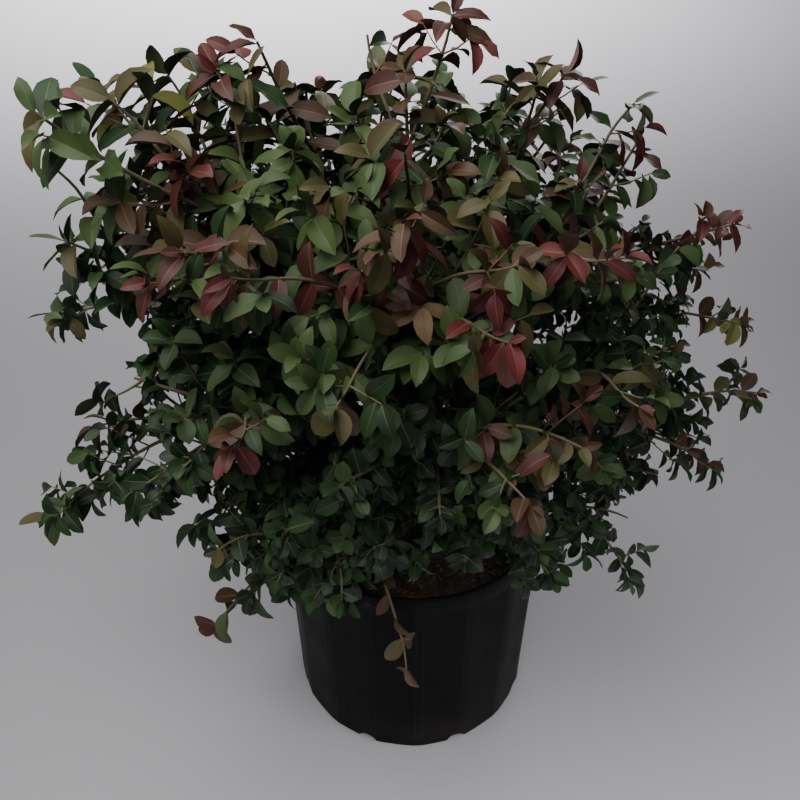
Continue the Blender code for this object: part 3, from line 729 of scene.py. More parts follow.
chips_laid = add(
    scatter,
    "GeometryNodeInstanceOnPoints",
    feeds={
        "Points": dropped.outputs["Points"],
        "Instance": chosen.outputs[0],
        "Pick Instance": True,
        "Instance Index": which.outputs[2],
        "Rotation": spin.outputs[0],
        "Scale": measure.outputs[1],
    },
)
chips_whole = add(scatter, "GeometryNodeRealizeInstances", feeds={"Geometry": chips_laid.outputs[0]})
chips_painted = add(
    scatter,
    "GeometryNodeSetMaterial",
    feeds={"Geometry": chips_whole.outputs[0], "Material": scatter_in["Material"]},
)
scatter.links.new(chips_painted.outputs[0], scatter_out["Geometry"])
print(scatter.name, "has", len(scatter.nodes), "nodes")

# %% [markdown]
# ## Soil colours
#
# Moist composted bark is a dark brown that turns nearly black in its hollows, with paler
# chips in it. The body of the mix and its chips each take the shared grain group with their own values.

# %% Potting mix materials


def soil_material(name, dark, pale, grain_scale, blotch_scale):
    material, tree, shader = new_material(name, dark, 0.92, 0.25)
    place = add(tree, "ShaderNodeTexCoord").outputs["Object"]
    soil = use_group(
        tree,
        grain_group,
        {
            "Place": place,
            "Grain scale": grain_scale,
            "Blotch scale": blotch_scale,
            "Depth": 0.0015,
            "Strength": 0.8,
        },
    )
    mixed = add(
        tree,
        "ShaderNodeMix",
        {"data_type": "RGBA"},
        {0: soil["Blotches"], 6: (*dark, 1.0), 7: (*pale, 1.0)},
    )
    tree.links.new(mixed.outputs[2], shader.inputs["Base Color"])
    tree.links.new(soil["Normal"], shader.inputs["Normal"])
    return material


mix_finish = soil_material("moist_mix", (0.018, 0.012, 0.008), (0.045, 0.030, 0.020), 420.0, 60.0)
chip_finish = soil_material("bark_chips", (0.030, 0.019, 0.012), (0.105, 0.070, 0.043), 700.0, 95.0)
mix_mesh.materials.append(mix_finish)
chips = add_object("mix_chips", mix_mesh.copy())
apply_nodes(
    chips,
    scatter,
    {
        "Shapes": chip_shapes,
        "Least distance": CHIP_DISTANCE,
        "Density": CHIP_DENSITY,
        "Seed": SEED,
        "Material": chip_finish,
    },
)
for chip in list(chip_shapes.objects):
    bpy.data.objects.remove(chip, do_unlink=True)
report(chips)

# %% [markdown]
# ## How the shrub is built
#
# A burning bush has one short stem that forks low down into boughs, and each bough carries its own mass of
# twigs. The crown is an egg-like body with squarish shoulders. Its masses sit in rings round
# the crown's middle, and each keeps to its own space: every point that is nearer to its middle
# than to any other's. This is the same rule, with the same numbers, that made the solid model, so the
# finer plant grown from it fits the solids.

# %% Crown and masses
CROWN_MIDDLE = Vector((-0.012, 0.0, 0.500))
CROWN_LEFT, CROWN_RIGHT = 0.335, 0.325
CROWN_FRONT, CROWN_BACK = 0.305, 0.305
CROWN_UP, CROWN_DOWN = 0.285, 0.260
CROWN_SQUARENESS = 2.3
CROWN_LOWEST = -46.0
STEM_HEIGHT = 0.092
TOP_FOOT_DEPTH = 0.004
BOUGH_RISE = 0.020
BOUGH_PLACES = 3
MASS_MIDDLE_SHARE = 0.62

Ring = namedtuple("Ring", "name count elevation first_azimuth bough_height bough_elevation")
RINGS = (
    Ring("middle", 7, 9.0, 282.0, 0.020, 34.0),
    Ring("upper", 5, 46.0, 270.0, 0.053, 50.0),
    Ring("top", 1, 90.0, 0.0, STEM_HEIGHT - TOP_FOOT_DEPTH, 90.0),
    Ring("lower", 6, -27.0, 240.0, None, None),
)


def direction_of(azimuth, elevation):
    azimuth, elevation = math.radians(azimuth), math.radians(elevation)
    level = math.cos(elevation)
    return Vector((level * math.cos(azimuth), level * math.sin(azimuth), math.sin(elevation)))


def crown_reach(direction):
    """How far the crown goes from its middle in a direction."""
    wide = CROWN_RIGHT if direction.x > 0.0 else CROWN_LEFT
    deep = CROWN_BACK if direction.y > 0.0 else CROWN_FRONT
    tall = CROWN_UP if direction.z > 0.0 else CROWN_DOWN
    total = (
        abs(direction.x / wide) ** CROWN_SQUARENESS
        + abs(direction.y / deep) ** CROWN_SQUARENESS
        + abs(direction.z / tall) ** CROWN_SQUARENESS
    )
    return total ** (-1.0 / CROWN_SQUARENESS)


class Mass:
    """One mass of foliage: its place, its tips and the limb that carries it."""

    def __init__(self, ring, number):
        self.place = ring.name if ring.count == 1 else f"{ring.name}_{number + 1}"
        self.ring = ring
        self.azimuth = ring.first_azimuth + 360.0 * number / ring.count
        direction = direction_of(self.azimuth, ring.elevation)
        self.middle = CROWN_MIDDLE + direction * MASS_MIDDLE_SHARE * crown_reach(direction)
        self.tips = []
        self.twig_ends = []
        self.more_tips = []
        self.height = ring.bough_height
        if self.height:
            self.height += BOUGH_RISE * (BOUGH_PLACES * number % ring.count) / ring.count

    def way(self, share):
        """A point between the mass's middle and the mean of its tips."""
        return self.middle.lerp(sum(self.tips, Vector()) / len(self.tips), share)


masses = [Mass(ring, number) for ring in RINGS for number in range(ring.count)]
middles = np.array([mass.middle for mass in masses])


def margins(points, index):
    """How deep each point is in the space of this mass; below zero it is outside."""
    points = np.atleast_2d(np.asarray(points, float))
    apart = np.linalg.norm(points[:, None, :] - middles[None, :, :], axis=2) ** 2
    between = np.linalg.norm(middles - middles[index], axis=1)
    between[index] = 1.0
    depth = (apart - apart[:, [index]]) / (2.0 * between)
    depth[:, index] = np.inf
    return depth.min(axis=1)


print(len(masses), "masses")

# %% [markdown]
# ## Where the shoots end
#
# A shrub's outline is made by the ends of its shoots. Some stand well out of the crown and give
# the plant its character, so they are listed one by one. The rest are spread evenly by the golden angle,
# which is also how many plants space their leaves. Each tip belongs to the mass whose space it is in.

# %% Tips
TIP_COUNT = 112
SPRAY_LENGTH = 0.086
TIP_INSET = 0.95 * SPRAY_LENGTH
LONG_TIP_INSET = 0.75 * SPRAY_LENGTH
TIP_DEPTH = 0.014
TIP_POT_GAP = 0.012
INNER_SHELLS = ((90, 0.60), (46, 0.42), (20, 0.24))
LONG_SHOOTS = {
    "left, top": (161.0, 63.0, 0.350, "leaf_brown_red"),
    "left, behind the top": (149.0, 46.0, 0.335, "leaf_mid_green"),
    "left, high": (165.0, 37.0, 0.389, "leaf_olive"),
    "far left, high": (194.0, 41.0, 0.425, "leaf_olive"),
    "far left, level": (186.0, 28.0, 0.385, "leaf_fresh_green"),
    "left, level": (180.0, 6.0, 0.362, "leaf_mid_green"),
    "left, arching": (187.0, -17.0, 0.344, "leaf_bronze"),
    "left, low": (194.0, -20.0, 0.395, "leaf_mid_green"),
    "left, hanging": (212.0, -55.0, 0.390, "leaf_brown_red"),
    "in front of the pot": (265.0, -57.0, 0.363, "leaf_bronze"),
    "right, hanging": (326.0, -53.0, 0.326, "leaf_deep_green"),
    "right, low": (341.0, -44.0, 0.388, "leaf_deep_green"),
    "right, lower side": (356.0, -27.0, 0.375, "leaf_brown_red"),
    "far right": (0.0, -13.0, 0.368, "leaf_bronze"),
    "right, level": (6.0, 2.0, 0.345, "leaf_brown_red"),
    "right, high": (9.0, 18.0, 0.345, "leaf_dull_red"),
    "right, top": (15.0, 45.0, 0.333, "leaf_mid_green"),
    "top, to the right": (26.0, 56.0, 0.318, "leaf_brown_red"),
    "top": (60.0, 75.0, 0.332, "leaf_brown_red"),
    "top, to the left": (110.0, 74.0, 0.312, "leaf_mid_green"),
    "behind, right": (55.0, 12.0, 0.350, "leaf_bronze"),
    "behind, left": (128.0, 6.0, 0.355, "leaf_mid_green"),
    "behind, low": (92.0, -32.0, 0.350, "leaf_deep_green"),
}
SHIFTS = {
    "left, low": (-0.018, -0.012, -0.020),
    "left, arching": (-0.006, 0.0, 0.0),
    "left, hanging": (-0.020, -0.010, 0.006),
    "in front of the pot": (0.014, -0.004, -0.004),
    "right, hanging": (0.004, 0.0, 0.010),
    "right, low": (0.008, 0.0, -0.014),
    "right, level": (0.024, 0.0, -0.012),
    "right, high": (0.014, 0.0, 0.0),
    "far right": (0.030, 0.0, -0.004),
    "right, lower side": (0.018, 0.0, 0.004),
    "left, top": (0.006, 0.0, -0.012),
    "far left, level": (0.010, 0.0, 0.030),
    "far left, high": (0.004, 0.0, 0.010),
}
FLANK_SHOOTS = {
    "top left, large pair": (166.0, 48.0, 0.352, "leaf_mid_green"),
    "top left, beside it": (164.0, 56.0, 0.330, "leaf_brown_red"),
    "top left, upright": (180.0, 45.0, 0.374, "leaf_olive"),
    "top left, inside": (171.0, 37.0, 0.320, "leaf_mid_green"),
    "left, upper": (184.0, 35.0, 0.335, "leaf_fresh_green"),
    "left, above the middle": (186.0, 22.0, 0.355, "leaf_mid_green"),
    "left, round leaf": (202.0, 8.0, 0.290, "leaf_mid_green"),
    "lower left, inner": (199.0, -27.0, 0.335, "leaf_deep_green"),
    "lower left, front": (214.0, -31.0, 0.300, "leaf_deep_green"),
    "lower left, hanging": (223.0, -34.0, 0.305, "leaf_deep_green"),
    "right, upper": (6.0, 12.0, 0.325, "leaf_dull_red"),
    "right, under the middle": (3.0, -28.0, 0.372, "leaf_brown_red"),
    "lower right, outer": (0.0, -35.0, 0.352, "leaf_brown_red"),
    "lower right, inner": (346.0, -35.0, 0.315, "leaf_bronze"),
    "lower right, front": (314.0, -39.0, 0.300, "leaf_deep_green"),
}
FRONT_SHOOTS = {
    "middle, high": (270.0, 53.0, 0.322, "leaf_dull_red"),
    "middle, under it": (292.0, 47.0, 0.319, "leaf_bronze"),
    "left, large": (235.0, 43.0, 0.336, "leaf_dull_red"),
    "left, above it": (223.0, 43.0, 0.343, "leaf_brown_red"),
    "left, outermost": (221.0, 37.0, 0.349, "leaf_dull_red"),
    "right of the middle": (287.0, 37.0, 0.329, "leaf_rose_red"),
    "right, large": (313.0, 43.0, 0.341, "leaf_dull_red"),
    "right, level": (310.0, 21.0, 0.346, "leaf_bronze"),
    "right, low": (296.0, 18.0, 0.334, "leaf_bronze"),
    "middle, level": (260.0, 29.0, 0.327, "leaf_olive"),
    "left, low": (242.0, 18.0, 0.337, "leaf_brown_red"),
    "middle, low": (288.0, 11.0, 0.331, "leaf_brown_red"),
}

OPEN_FROM = 0.62
OPENINGS = (
    (-0.229, 0.013, 0.018),
    (-0.188, 0.000, 0.011),
    (-0.208, -0.043, 0.015),
    (-0.170, -0.035, 0.012),
    (-0.070, 0.310, 0.045),
    (-0.105, 0.330, 0.030),
    (-0.030, 0.325, 0.028),
    (0.229, 0.163, 0.021),
    (0.216, -0.035, 0.010),
    (0.188, -0.096, 0.015),
    (0.160, -0.150, 0.012),
)


def drawn_in(point, index, depth):
    """The point, moved away from its neighbours' spaces until it is this deep in its own."""
    for _ in range(4):
        for other, middle in enumerate(middles):
            if other == index:
                continue
            away = Vector(middles[index] - middle)
            half = Vector(0.5 * (middles[index] + middle))
            short = depth - (point - half).dot(away.normalized())
            if short > 0.0:
                point = point + away.normalized() * short
    return point


def clear_of_pot(point, margin):
    """True where a point is neither inside the pot nor right above its rim."""
    return math.hypot(point.x, point.y) > POT_LIP_RADIUS + margin or point.z > POT_HEIGHT + margin


def deal_tip(point, kind, tint=None, shift=(0.0, 0.0, 0.0)):
    """Gives a tip to the mass whose space it is in, unless it would rest on the pot."""
    index = int(np.linalg.norm(middles - np.asarray(point), axis=1).argmin())
    point = drawn_in(point, index, TIP_DEPTH)
    if not clear_of_pot(point, TIP_POT_GAP):
        return
    if kind in ("inner", "front", "flank"):
        masses[index].more_tips.append((point, kind, tint))
    else:
        masses[index].tips.append(point)
        masses[index].twig_ends.append((point + Vector(shift), kind, tint))


def spread_directions(count):
    """Directions spread evenly over a sphere by the golden angle, down to the crown's lowest."""
    golden = math.pi * (3.0 - math.sqrt(5.0))
    for index in range(count):
        height = 1.0 - (2.0 * index + 1.0) / count
        level = math.sqrt(1.0 - height * height)
        if math.degrees(math.asin(height)) >= CROWN_LOWEST:
            yield Vector((level * math.cos(golden * index), level * math.sin(golden * index), height))


def seen_at(point):
    """Where a point is in the camera's picture, as shares of its distance: right and up."""
    sight = camera.rotation_euler.to_matrix().transposed() @ (point - camera.location)
    return sight.x / -sight.z, sight.y / -sight.z


def is_open(point):
    """True where the photo shows sky between the crown's outer sprays."""
    offset = point - CROWN_MIDDLE
    if offset.length < OPEN_FROM * crown_reach(offset.normalized()):
        return False
    right, up = seen_at(point)
    return any(math.hypot(right - x, up - y) < radius for x, y, radius in OPENINGS)


for shoots, kind in ((LONG_SHOOTS, "long"), (FLANK_SHOOTS, "flank"), (FRONT_SHOOTS, "front")):
    for name, (azimuth, elevation, reach, tint) in shoots.items():
        tip = CROWN_MIDDLE + direction_of(azimuth, elevation) * (reach - LONG_TIP_INSET)
        kind_here = "hanging" if kind == "long" and elevation < -50.0 else kind
        deal_tip(tip, kind_here, tint, SHIFTS.get(name, (0.0, 0.0, 0.0)))
for direction in spread_directions(TIP_COUNT):
    deal_tip(CROWN_MIDDLE + direction * (crown_reach(direction) - TIP_INSET), "even")
for count, share in INNER_SHELLS:
    for direction in spread_directions(count):
        deal_tip(CROWN_MIDDLE + direction * crown_reach(direction) * share, "inner")
print("tips of each mass:", [len(mass.tips) for mass in masses])
print("further tips:", sum(len(mass.more_tips) for mass in masses))

# %% [markdown]
# ## Paths of the stem and the boughs
#
# A limb is a path with a thickness along it. The stem starts upright and leans a little. Each
# bough leaves it at an angle and bends over towards its own mass, which a Bezier curve with four handles
# gives. The lower boughs fork from the middle ones. Living wood is never quite true, so a slow wander is
# added that dies out at both ends, where the limb has to meet its neighbours.

# %% Limb paths
CLEARANCE = 0.0003
STEM_FOOT_RADIUS = 0.021
STEM_NECK_RADIUS = 0.0135
STEM_TOP_RADIUS = 0.0112
STEM_FLARE_SHARE = 0.35
STEM_LEAN = 0.006
BOUGH_RADIUS = 0.0052
BOUGH_TIP_RADIUS = 0.0034
BOUGH_POINTS = 5
BOUGH_ENTRY = 0.012
BOUGH_LEAST_SHARE = 0.30
BOUGH_MOST_SHARE = 0.90
MASS_END_SHARE = 0.6
LEAVE_SHARE = 0.38
ARRIVE_SHARE = 0.30
FORK_THICKNESS = 0.7
FORK_SPREAD = 0.4
LIMB_STEPS = 36
WANDER = 0.0016
WANDER_LENGTH = 0.045


def stem_radius(height):
    """Radius of the main stem at a height above its foot."""
    share = height / STEM_HEIGHT
    if share > STEM_FLARE_SHARE:
        along = (share - STEM_FLARE_SHARE) / (1.0 - STEM_FLARE_SHARE)
        return STEM_NECK_RADIUS + (STEM_TOP_RADIUS - STEM_NECK_RADIUS) * along
    flare = 1.0 - share / STEM_FLARE_SHARE
    return STEM_NECK_RADIUS + (STEM_FOOT_RADIUS - STEM_NECK_RADIUS) * flare * flare


def stem_point(height):
    """A point on the main stem's axis, which starts upright and then leans."""
    lean = STEM_LEAN * (height / STEM_HEIGHT) ** 2
    return Vector((lean, 0.0, MIX_TOP + CLEARANCE + height))


def bezier(points, share):
    a, b, c, d = points
    rest = 1.0 - share
    return a * rest**3 + b * 3.0 * rest**2 * share + c * 3.0 * rest * share**2 + d * share**3


def route_bough(mass, index, root, direction, thickness=1.0):
    """Sets the mass's limb: a curve from inside its parent to a little way into the mass."""
    mass.end = mass.way(MASS_END_SHARE)
    mass.thickness = thickness
    arrive = (mass.middle - CROWN_MIDDLE).normalized()
    span = (mass.end - root).length
    leave = root + direction * LEAVE_SHARE * span
    mass.handles = (root, leave, mass.end - arrive * ARRIVE_SHARE * span, mass.end)
    share = BOUGH_LEAST_SHARE
    while share < BOUGH_MOST_SHARE:
        if margins(bezier(mass.handles, share), index)[0] >= BOUGH_ENTRY:
            break
        share += 0.01
    mass.share = share


def turn_between(first, second):
    return abs((first - second + 180.0) % 360.0 - 180.0)


middle_ring = [mass for mass in masses if mass.ring.name == "middle"]
for index, mass in enumerate(masses):
    if mass.height:
        direction = direction_of(mass.azimuth, mass.ring.bough_elevation)
        route_bough(mass, index, stem_point(mass.height), direction)
for index, mass in enumerate(masses):
    if mass.ring.name == "lower":
        turns = [turn_between(other.azimuth, mass.azimuth) for other in middle_ring]
        parent = middle_ring[turns.index(min(turns))]
        root = bezier(parent.handles, parent.share / (BOUGH_POINTS - 1))
        wanted = (mass.way(0.5) - root).normalized()
        direction = (wanted + direction_of(mass.azimuth, 0.0) * FORK_SPREAD).normalized()
        route_bough(mass, index, root, direction, FORK_THICKNESS)


def wandered(points, seed):
    """A path with a slow wander that dies out at its ends."""
    moved = []
    for step, point in enumerate(points):
        share = step / (len(points) - 1)
        shift = noise.noise_vector(point / WANDER_LENGTH + Vector((seed, 0.0, 0.0)))
        moved.append(point + shift * WANDER * math.sin(math.pi * share))
    return moved


limbs = []
stem_heights = [STEM_HEIGHT * step / LIMB_STEPS for step in range(LIMB_STEPS + 1)]
limbs.append(([stem_point(h) for h in stem_heights], [stem_radius(h) for h in stem_heights]))
for number, mass in enumerate(masses):
    shares = [mass.share * step / LIMB_STEPS for step in range(LIMB_STEPS + 1)]
    path = wandered([bezier(mass.handles, share) for share in shares], number)
    taper = BOUGH_TIP_RADIUS - BOUGH_RADIUS
    radii = [mass.thickness * (BOUGH_RADIUS + taper * step / LIMB_STEPS) for step in range(LIMB_STEPS + 1)]
    mass.path = path
    mass.tip_radius = radii[-1]
    limbs.append((path, radii))
print(len(limbs), "limbs")

# %% [markdown]
# ## A skin for limbs and twigs
#
# Wood follows its path, so a Geometry Nodes tree puts a round skin on any line: it turns the line into a
# curve, sweeps a circle along it and scales the circle by the line's own thickness. The same tree
# serves a thick stem with many sides and a thin twig with five. For bark it also stores how far each point is
# along the limb and where it is round it, and lifts the surface by a noise on those two, long along the
# limb and narrow round it, which gives the furrows and corky ridges of this shrub.

# %% Limb skin
skin_tree, skin_in, skin_out = new_group(
    "limb_skin",
    "GeometryNodeTree",
    [
        ("Geometry", GEOMETRY, None),
        ("Sides", INT, 6),
        ("Step", FLOAT, 0.002),
        ("Relief", FLOAT, 0.0),
        ("Material", MATERIAL, None),
    ],
    [("Geometry", GEOMETRY)],
)


def named(tree, name, data_type="FLOAT"):
    """Reads an attribute of the geometry by its name."""
    node = add(tree, "GeometryNodeInputNamedAttribute", {"data_type": data_type}, {"Name": name})
    return node.outputs[0]


def store(tree, geometry, name, value, data_type="FLOAT"):
    """Writes an attribute of the geometry's points under a name."""
    node = add(
        tree,
        "GeometryNodeStoreNamedAttribute",
        {"data_type": data_type, "domain": "POINT"},
        {"Geometry": geometry, "Name": name},
    )
    tree.links.new(value, node.inputs["Value"])
    return node.outputs[0]


line = add(skin_tree, "GeometryNodeMeshToCurve", feeds={"Mesh": skin_in["Geometry"]})
even = add(
    skin_tree,
    "GeometryNodeResampleCurve",
    {"mode": "LENGTH"},
    {"Curve": line.outputs[0], "Length": skin_in["Step"]},
)
along = add(skin_tree, "GeometryNodeSplineParameter").outputs["Length"]
marked = store(skin_tree, even.outputs[0], "along", along)
round_profile = add(
    skin_tree, "GeometryNodeCurvePrimitiveCircle", feeds={"Resolution": skin_in["Sides"], "Radius": 1.0}
)
spot = add(skin_tree, "GeometryNodeInputPosition").outputs["Position"]
marked_profile = store(skin_tree, round_profile.outputs[0], "around", spot, "FLOAT_VECTOR")
swept = add(
    skin_tree,
    "GeometryNodeCurveToMesh",
    feeds={
        "Curve": marked,
        "Profile Curve": marked_profile,
        "Scale": named(skin_tree, "thickness"),
        "Fill Caps": True,
    },
)
around = add(
    skin_tree, "ShaderNodeSeparateXYZ", feeds={"Vector": named(skin_tree, "around", "FLOAT_VECTOR")}
)
bark_place = add(
    skin_tree,
    "ShaderNodeCombineXYZ",
    feeds={
        "X": around.outputs["X"],
        "Y": around.outputs["Y"],
        "Z": calculate(skin_tree, "MULTIPLY", named(skin_tree, "along"), 28.0),
    },
)
placed = store(skin_tree, swept.outputs[0], "bark_place", bark_place.outputs[0], "FLOAT_VECTOR")
furrows = add(
    skin_tree,
    "ShaderNodeTexNoise",
    feeds={
        "Vector": named(skin_tree, "bark_place", "FLOAT_VECTOR"),
        "Scale": 2.6,
        "Detail": 3.0,
        "Roughness": 0.55,
    },
)
depth = calculate(skin_tree, "SUBTRACT", furrows.outputs["Fac"], 0.5)
depth = calculate(skin_tree, "MULTIPLY", depth, skin_in["Relief"])
depth = calculate(skin_tree, "MULTIPLY", depth, named(skin_tree, "thickness"))
skin_normal = add(skin_tree, "GeometryNodeInputNormal").outputs["Normal"]
lift = add(skin_tree, "ShaderNodeVectorMath", {"operation": "SCALE"}, {0: skin_normal, "Scale": depth})
lifted = add(
    skin_tree, "GeometryNodeSetPosition", feeds={"Geometry": placed, "Offset": lift.outputs[0]}
)
joined = add(skin_tree, "GeometryNodeRealizeInstances", feeds={"Geometry": lifted.outputs[0]})
skinned = add(
    skin_tree,
    "GeometryNodeSetMaterial",
    feeds={"Geometry": joined.outputs[0], "Material": skin_in["Material"]},
)
skin_tree.links.new(skinned.outputs[0], skin_out["Geometry"])
print(skin_tree.name, "has", len(skin_tree.nodes), "nodes")


def line_mesh(name, lines):
    """One mesh of loose lines; each is a path with the thickness at every point."""
    points, edges, thickness = [], [], []
    for path, radii in lines:
        first = len(points)
        points += [tuple(point) for point in path]
        edges += [(first + step, first + step + 1) for step in range(len(path) - 1)]
        thickness += radii
    mesh = bpy.data.meshes.new(name)
    mesh.from_pydata(points, edges, [])
    attribute = mesh.attributes.new("thickness", "FLOAT", "POINT")
    attribute.data.foreach_set("value", np.array(thickness, np.float32))
    return mesh


def drop_attributes(mesh, names):
    for name in names:
        attribute = mesh.attributes.get(name)
        if attribute:
            mesh.attributes.remove(attribute)


# %% [markdown]
# ## Bark
#
# Old wood of this shrub is grey-brown with tan furrows, and corky ridges run along it. The colour
# follows the same stored place on the limb as the relief does, so dark lines lie in the furrows. A bump
# adds the fibres that are too fine for faces.

# %% Bark material and the woody frame
STEM_SIDES = 40
BOUGH_SKIN_STEP = 0.003
BARK_RELIEF = 0.5

bark_finish, tree, shader = new_material("grey_brown_bark", (0.16, 0.12, 0.085), 0.85, 0.25)
on_limb = add(tree, "ShaderNodeAttribute", {"attribute_name": "bark_place"}).outputs["Vector"]
lines = add(
    tree,
    "ShaderNodeTexNoise",
    feeds={"Vector": on_limb, "Scale": 2.6, "Detail": 6.0, "Roughness": 0.6},
)
ramp = add(
    tree, "ShaderNodeMapRange", feeds={"Value": lines.outputs["Fac"], "From Min": 0.36, "From Max": 0.64}
)
bark_colour = add(
    tree,
    "ShaderNodeMix",
    {"data_type": "RGBA"},
    {0: ramp.outputs["Result"], 6: (0.055, 0.040, 0.028, 1.0), 7: (0.235, 0.185, 0.130, 1.0)},
)
fibres = add(
    tree, "ShaderNodeTexNoise", feeds={"Vector": on_limb, "Scale": 14.0, "Detail": 4.0}
)
fibre_bump = add(
    tree,
    "ShaderNodeBump",
    feeds={"Height": fibres.outputs["Fac"], "Strength": 0.5, "Distance": 0.0008},
)
tree.links.new(bark_colour.outputs[2], shader.inputs["Base Color"])
tree.links.new(fibre_bump.outputs["Normal"], shader.inputs["Normal"])

wood = add_object("stem_and_boughs", line_mesh("stem_and_boughs", limbs))
wood_mesh = apply_nodes(
    wood,
    skin_tree,
    {"Sides": STEM_SIDES, "Step": BOUGH_SKIN_STEP, "Relief": BARK_RELIEF, "Material": bark_finish},
)
drop_attributes(wood_mesh, ("thickness", "along", "around"))
wood_mesh.shade_smooth()
wood_mesh.set_sharp_from_angle(angle=math.radians(70.0))
report(wood)

# %% [markdown]
# ## Leaf shape
#
# A burning bush leaf is a pointed oval, widest past its middle, folded a little along a pale
# midrib, and it bends down towards its tip. There are thousands, so each has only some thirty
# faces. It is a closed lens: an upper side with a strip for the midrib, and an underside, which meet in a
# sharp margin. Faces with four corners are split along a diagonal when they are drawn, so the underside's
# start at the corner that gives both sides the same diagonals, or they would cut through each other. A face attribute says which part each face is, so that each can have its own colour.
# Four shapes, from flat to curled, keep the leaves from looking stamped out.

# %% Leaf shapes
LEAF_SHARES = (0.07, 0.20, 0.38, 0.58, 0.77, 0.91)
LEAF_WIDTHS = (0.22, 0.68, 0.95, 1.00, 0.83, 0.46)
RIB_WIDTHS = (0.065, 0.058, 0.050, 0.040, 0.030, 0.020)
LEAF_THICKNESS = 0.016
BLADE, RIB, UNDERSIDE = 0, 1, 2
LeafShape = namedtuple("LeafShape", "name fold bend curl wave twist")
LEAF_SHAPES = (
    LeafShape("leaf_0_flat", 0.10, 0.12, 0.06, 0.012, 0.00),
    LeafShape("leaf_1_folded", 0.42, 0.22, 0.10, 0.010, 0.08),
    LeafShape("leaf_2_curled", 0.18, 0.34, 0.26, 0.020, -0.10),
    LeafShape("leaf_3_wavy", 0.16, 0.22, 0.12, 0.050, 0.14),
)


def leaf_drop(shape, share):
    """How far the leaf has bent down at a share of its length."""
    return -shape.bend * share**2 - shape.curl * max(0.0, share - 0.7) ** 2 * 5.0


def leaf_row(shape, step):
    """Five points across the leaf: margin, both sides of the midrib, margin, and the underside."""
    share = LEAF_SHARES[step]
    half = 0.5 * LEAF_WIDTHS[step]
    rib = 0.5 * RIB_WIDTHS[step]
    drop = leaf_drop(shape, share)
    wave = shape.wave * math.sin(11.0 * share)
    lean = shape.twist * share
    row = []
    for side, is_margin in ((-1.0, True), (-1.0, False), (1.0, False), (1.0, True)):
        aside = side * (half if is_margin else rib)
        rise = drop + abs(aside) * shape.fold + side * wave * (1.0 if is_margin else 0.0)
        rise += aside * lean + (0.0 if is_margin else 0.35 * LEAF_THICKNESS)
        row.append(Vector((share, aside, rise)))
    row.append(Vector((share, 0.0, drop - 0.65 * LEAF_THICKNESS)))
    return row


def leaf_mesh(shape):
    """A leaf one unit long and one unit wide, root at the origin, upper side up."""
    points = [Vector((0.0, 0.0, 0.0))]
    for step in range(len(LEAF_SHARES)):
        points += leaf_row(shape, step)
    points.append(Vector((1.0, 0.0, leaf_drop(shape, 1.0))))
    tip = len(points) - 1
    faces, parts = [], []
    columns = ((0, 1, BLADE), (1, 2, RIB), (2, 3, BLADE), (3, 4, UNDERSIDE), (4, 0, UNDERSIDE))
    for left, right, part in columns:
        faces.append((0, 1 + right, 1 + left))
        parts.append(part)
        for step in range(len(LEAF_SHARES) - 1):
            low, high = 1 + 5 * step, 6 + 5 * step
            corners = (low + left, low + right, high + right, high + left)
            if part == UNDERSIDE:
                corners = corners[1:] + corners[:1]
            faces.append(corners)
            parts.append(part)
        last = tip - 5
        faces.append((last + left, last + right, tip))
        parts.append(part)
    mesh = bpy.data.meshes.new(shape.name)
    mesh.from_pydata([tuple(point) for point in points], [], faces)
    attribute = mesh.attributes.new("part", "INT", "FACE")
    attribute.data.foreach_set("value", parts)
    mesh.shade_smooth()
    mesh.set_sharp_from_angle(angle=math.radians(75.0))
    return mesh


leaf_shapes = bpy.data.collections.new("leaf_shapes")
for shape in LEAF_SHAPES:
    leaf_shapes.objects.link(bpy.data.objects.new(shape.name, leaf_mesh(shape)))

# %% [markdown]
# ## Autumn colours
#
# The shrub is just turning. Inside and low down its leaves are deep green, further out olive and
# bronze, and the ends of the upper shoots are dull to rose red. Each tint is a plain colour in a
# material of its own, with the soft gloss of a waxy leaf. Tints are dealt out by spray, because a
# shoot turns as a whole, and undersides are paler and duller than upper sides. The darkest green is
# deep green at about half its brightness: painted shade for the sprays inside and low down.

# %% Leaf and twig materials
LEAF_ROUGHNESS = 0.50
LEAF_GLOSS = 0.28
BLADE_TINTS = {
    # Painted shade: deep green at about half its brightness, for the sprays inside and low in the crown.
    "leaf_dark_green": (0.013, 0.029, 0.011),
    "leaf_deep_green": (0.025, 0.055, 0.018),
    "leaf_mid_green": (0.056, 0.094, 0.029),
    "leaf_olive": (0.085, 0.072, 0.026),
    "leaf_bronze": (0.074, 0.043, 0.022),
    "leaf_brown_red": (0.074, 0.026, 0.019),
    "leaf_dull_red": (0.098, 0.025, 0.022),
    "leaf_rose_red": (0.140, 0.028, 0.027),
    "leaf_pale_rose": (0.165, 0.056, 0.044),
    "leaf_fresh_green": (0.066, 0.104, 0.030),
    "leaf_yellow_green": (0.160, 0.170, 0.040),
    "leaf_tan": (0.220, 0.140, 0.070),
}
RIB_TINTS = {"rib_green": (0.085, 0.115, 0.050), "rib_rose": (0.200, 0.080, 0.062)}
UNDER_TINTS = {"under_green": (0.070, 0.100, 0.050), "under_bronze": (0.130, 0.080, 0.058)}
TWIG_TINTS = {
    "twig_brown": (0.150, 0.115, 0.070),
    "twig_green": (0.150, 0.160, 0.075),
    "twig_red": (0.230, 0.110, 0.075),
}

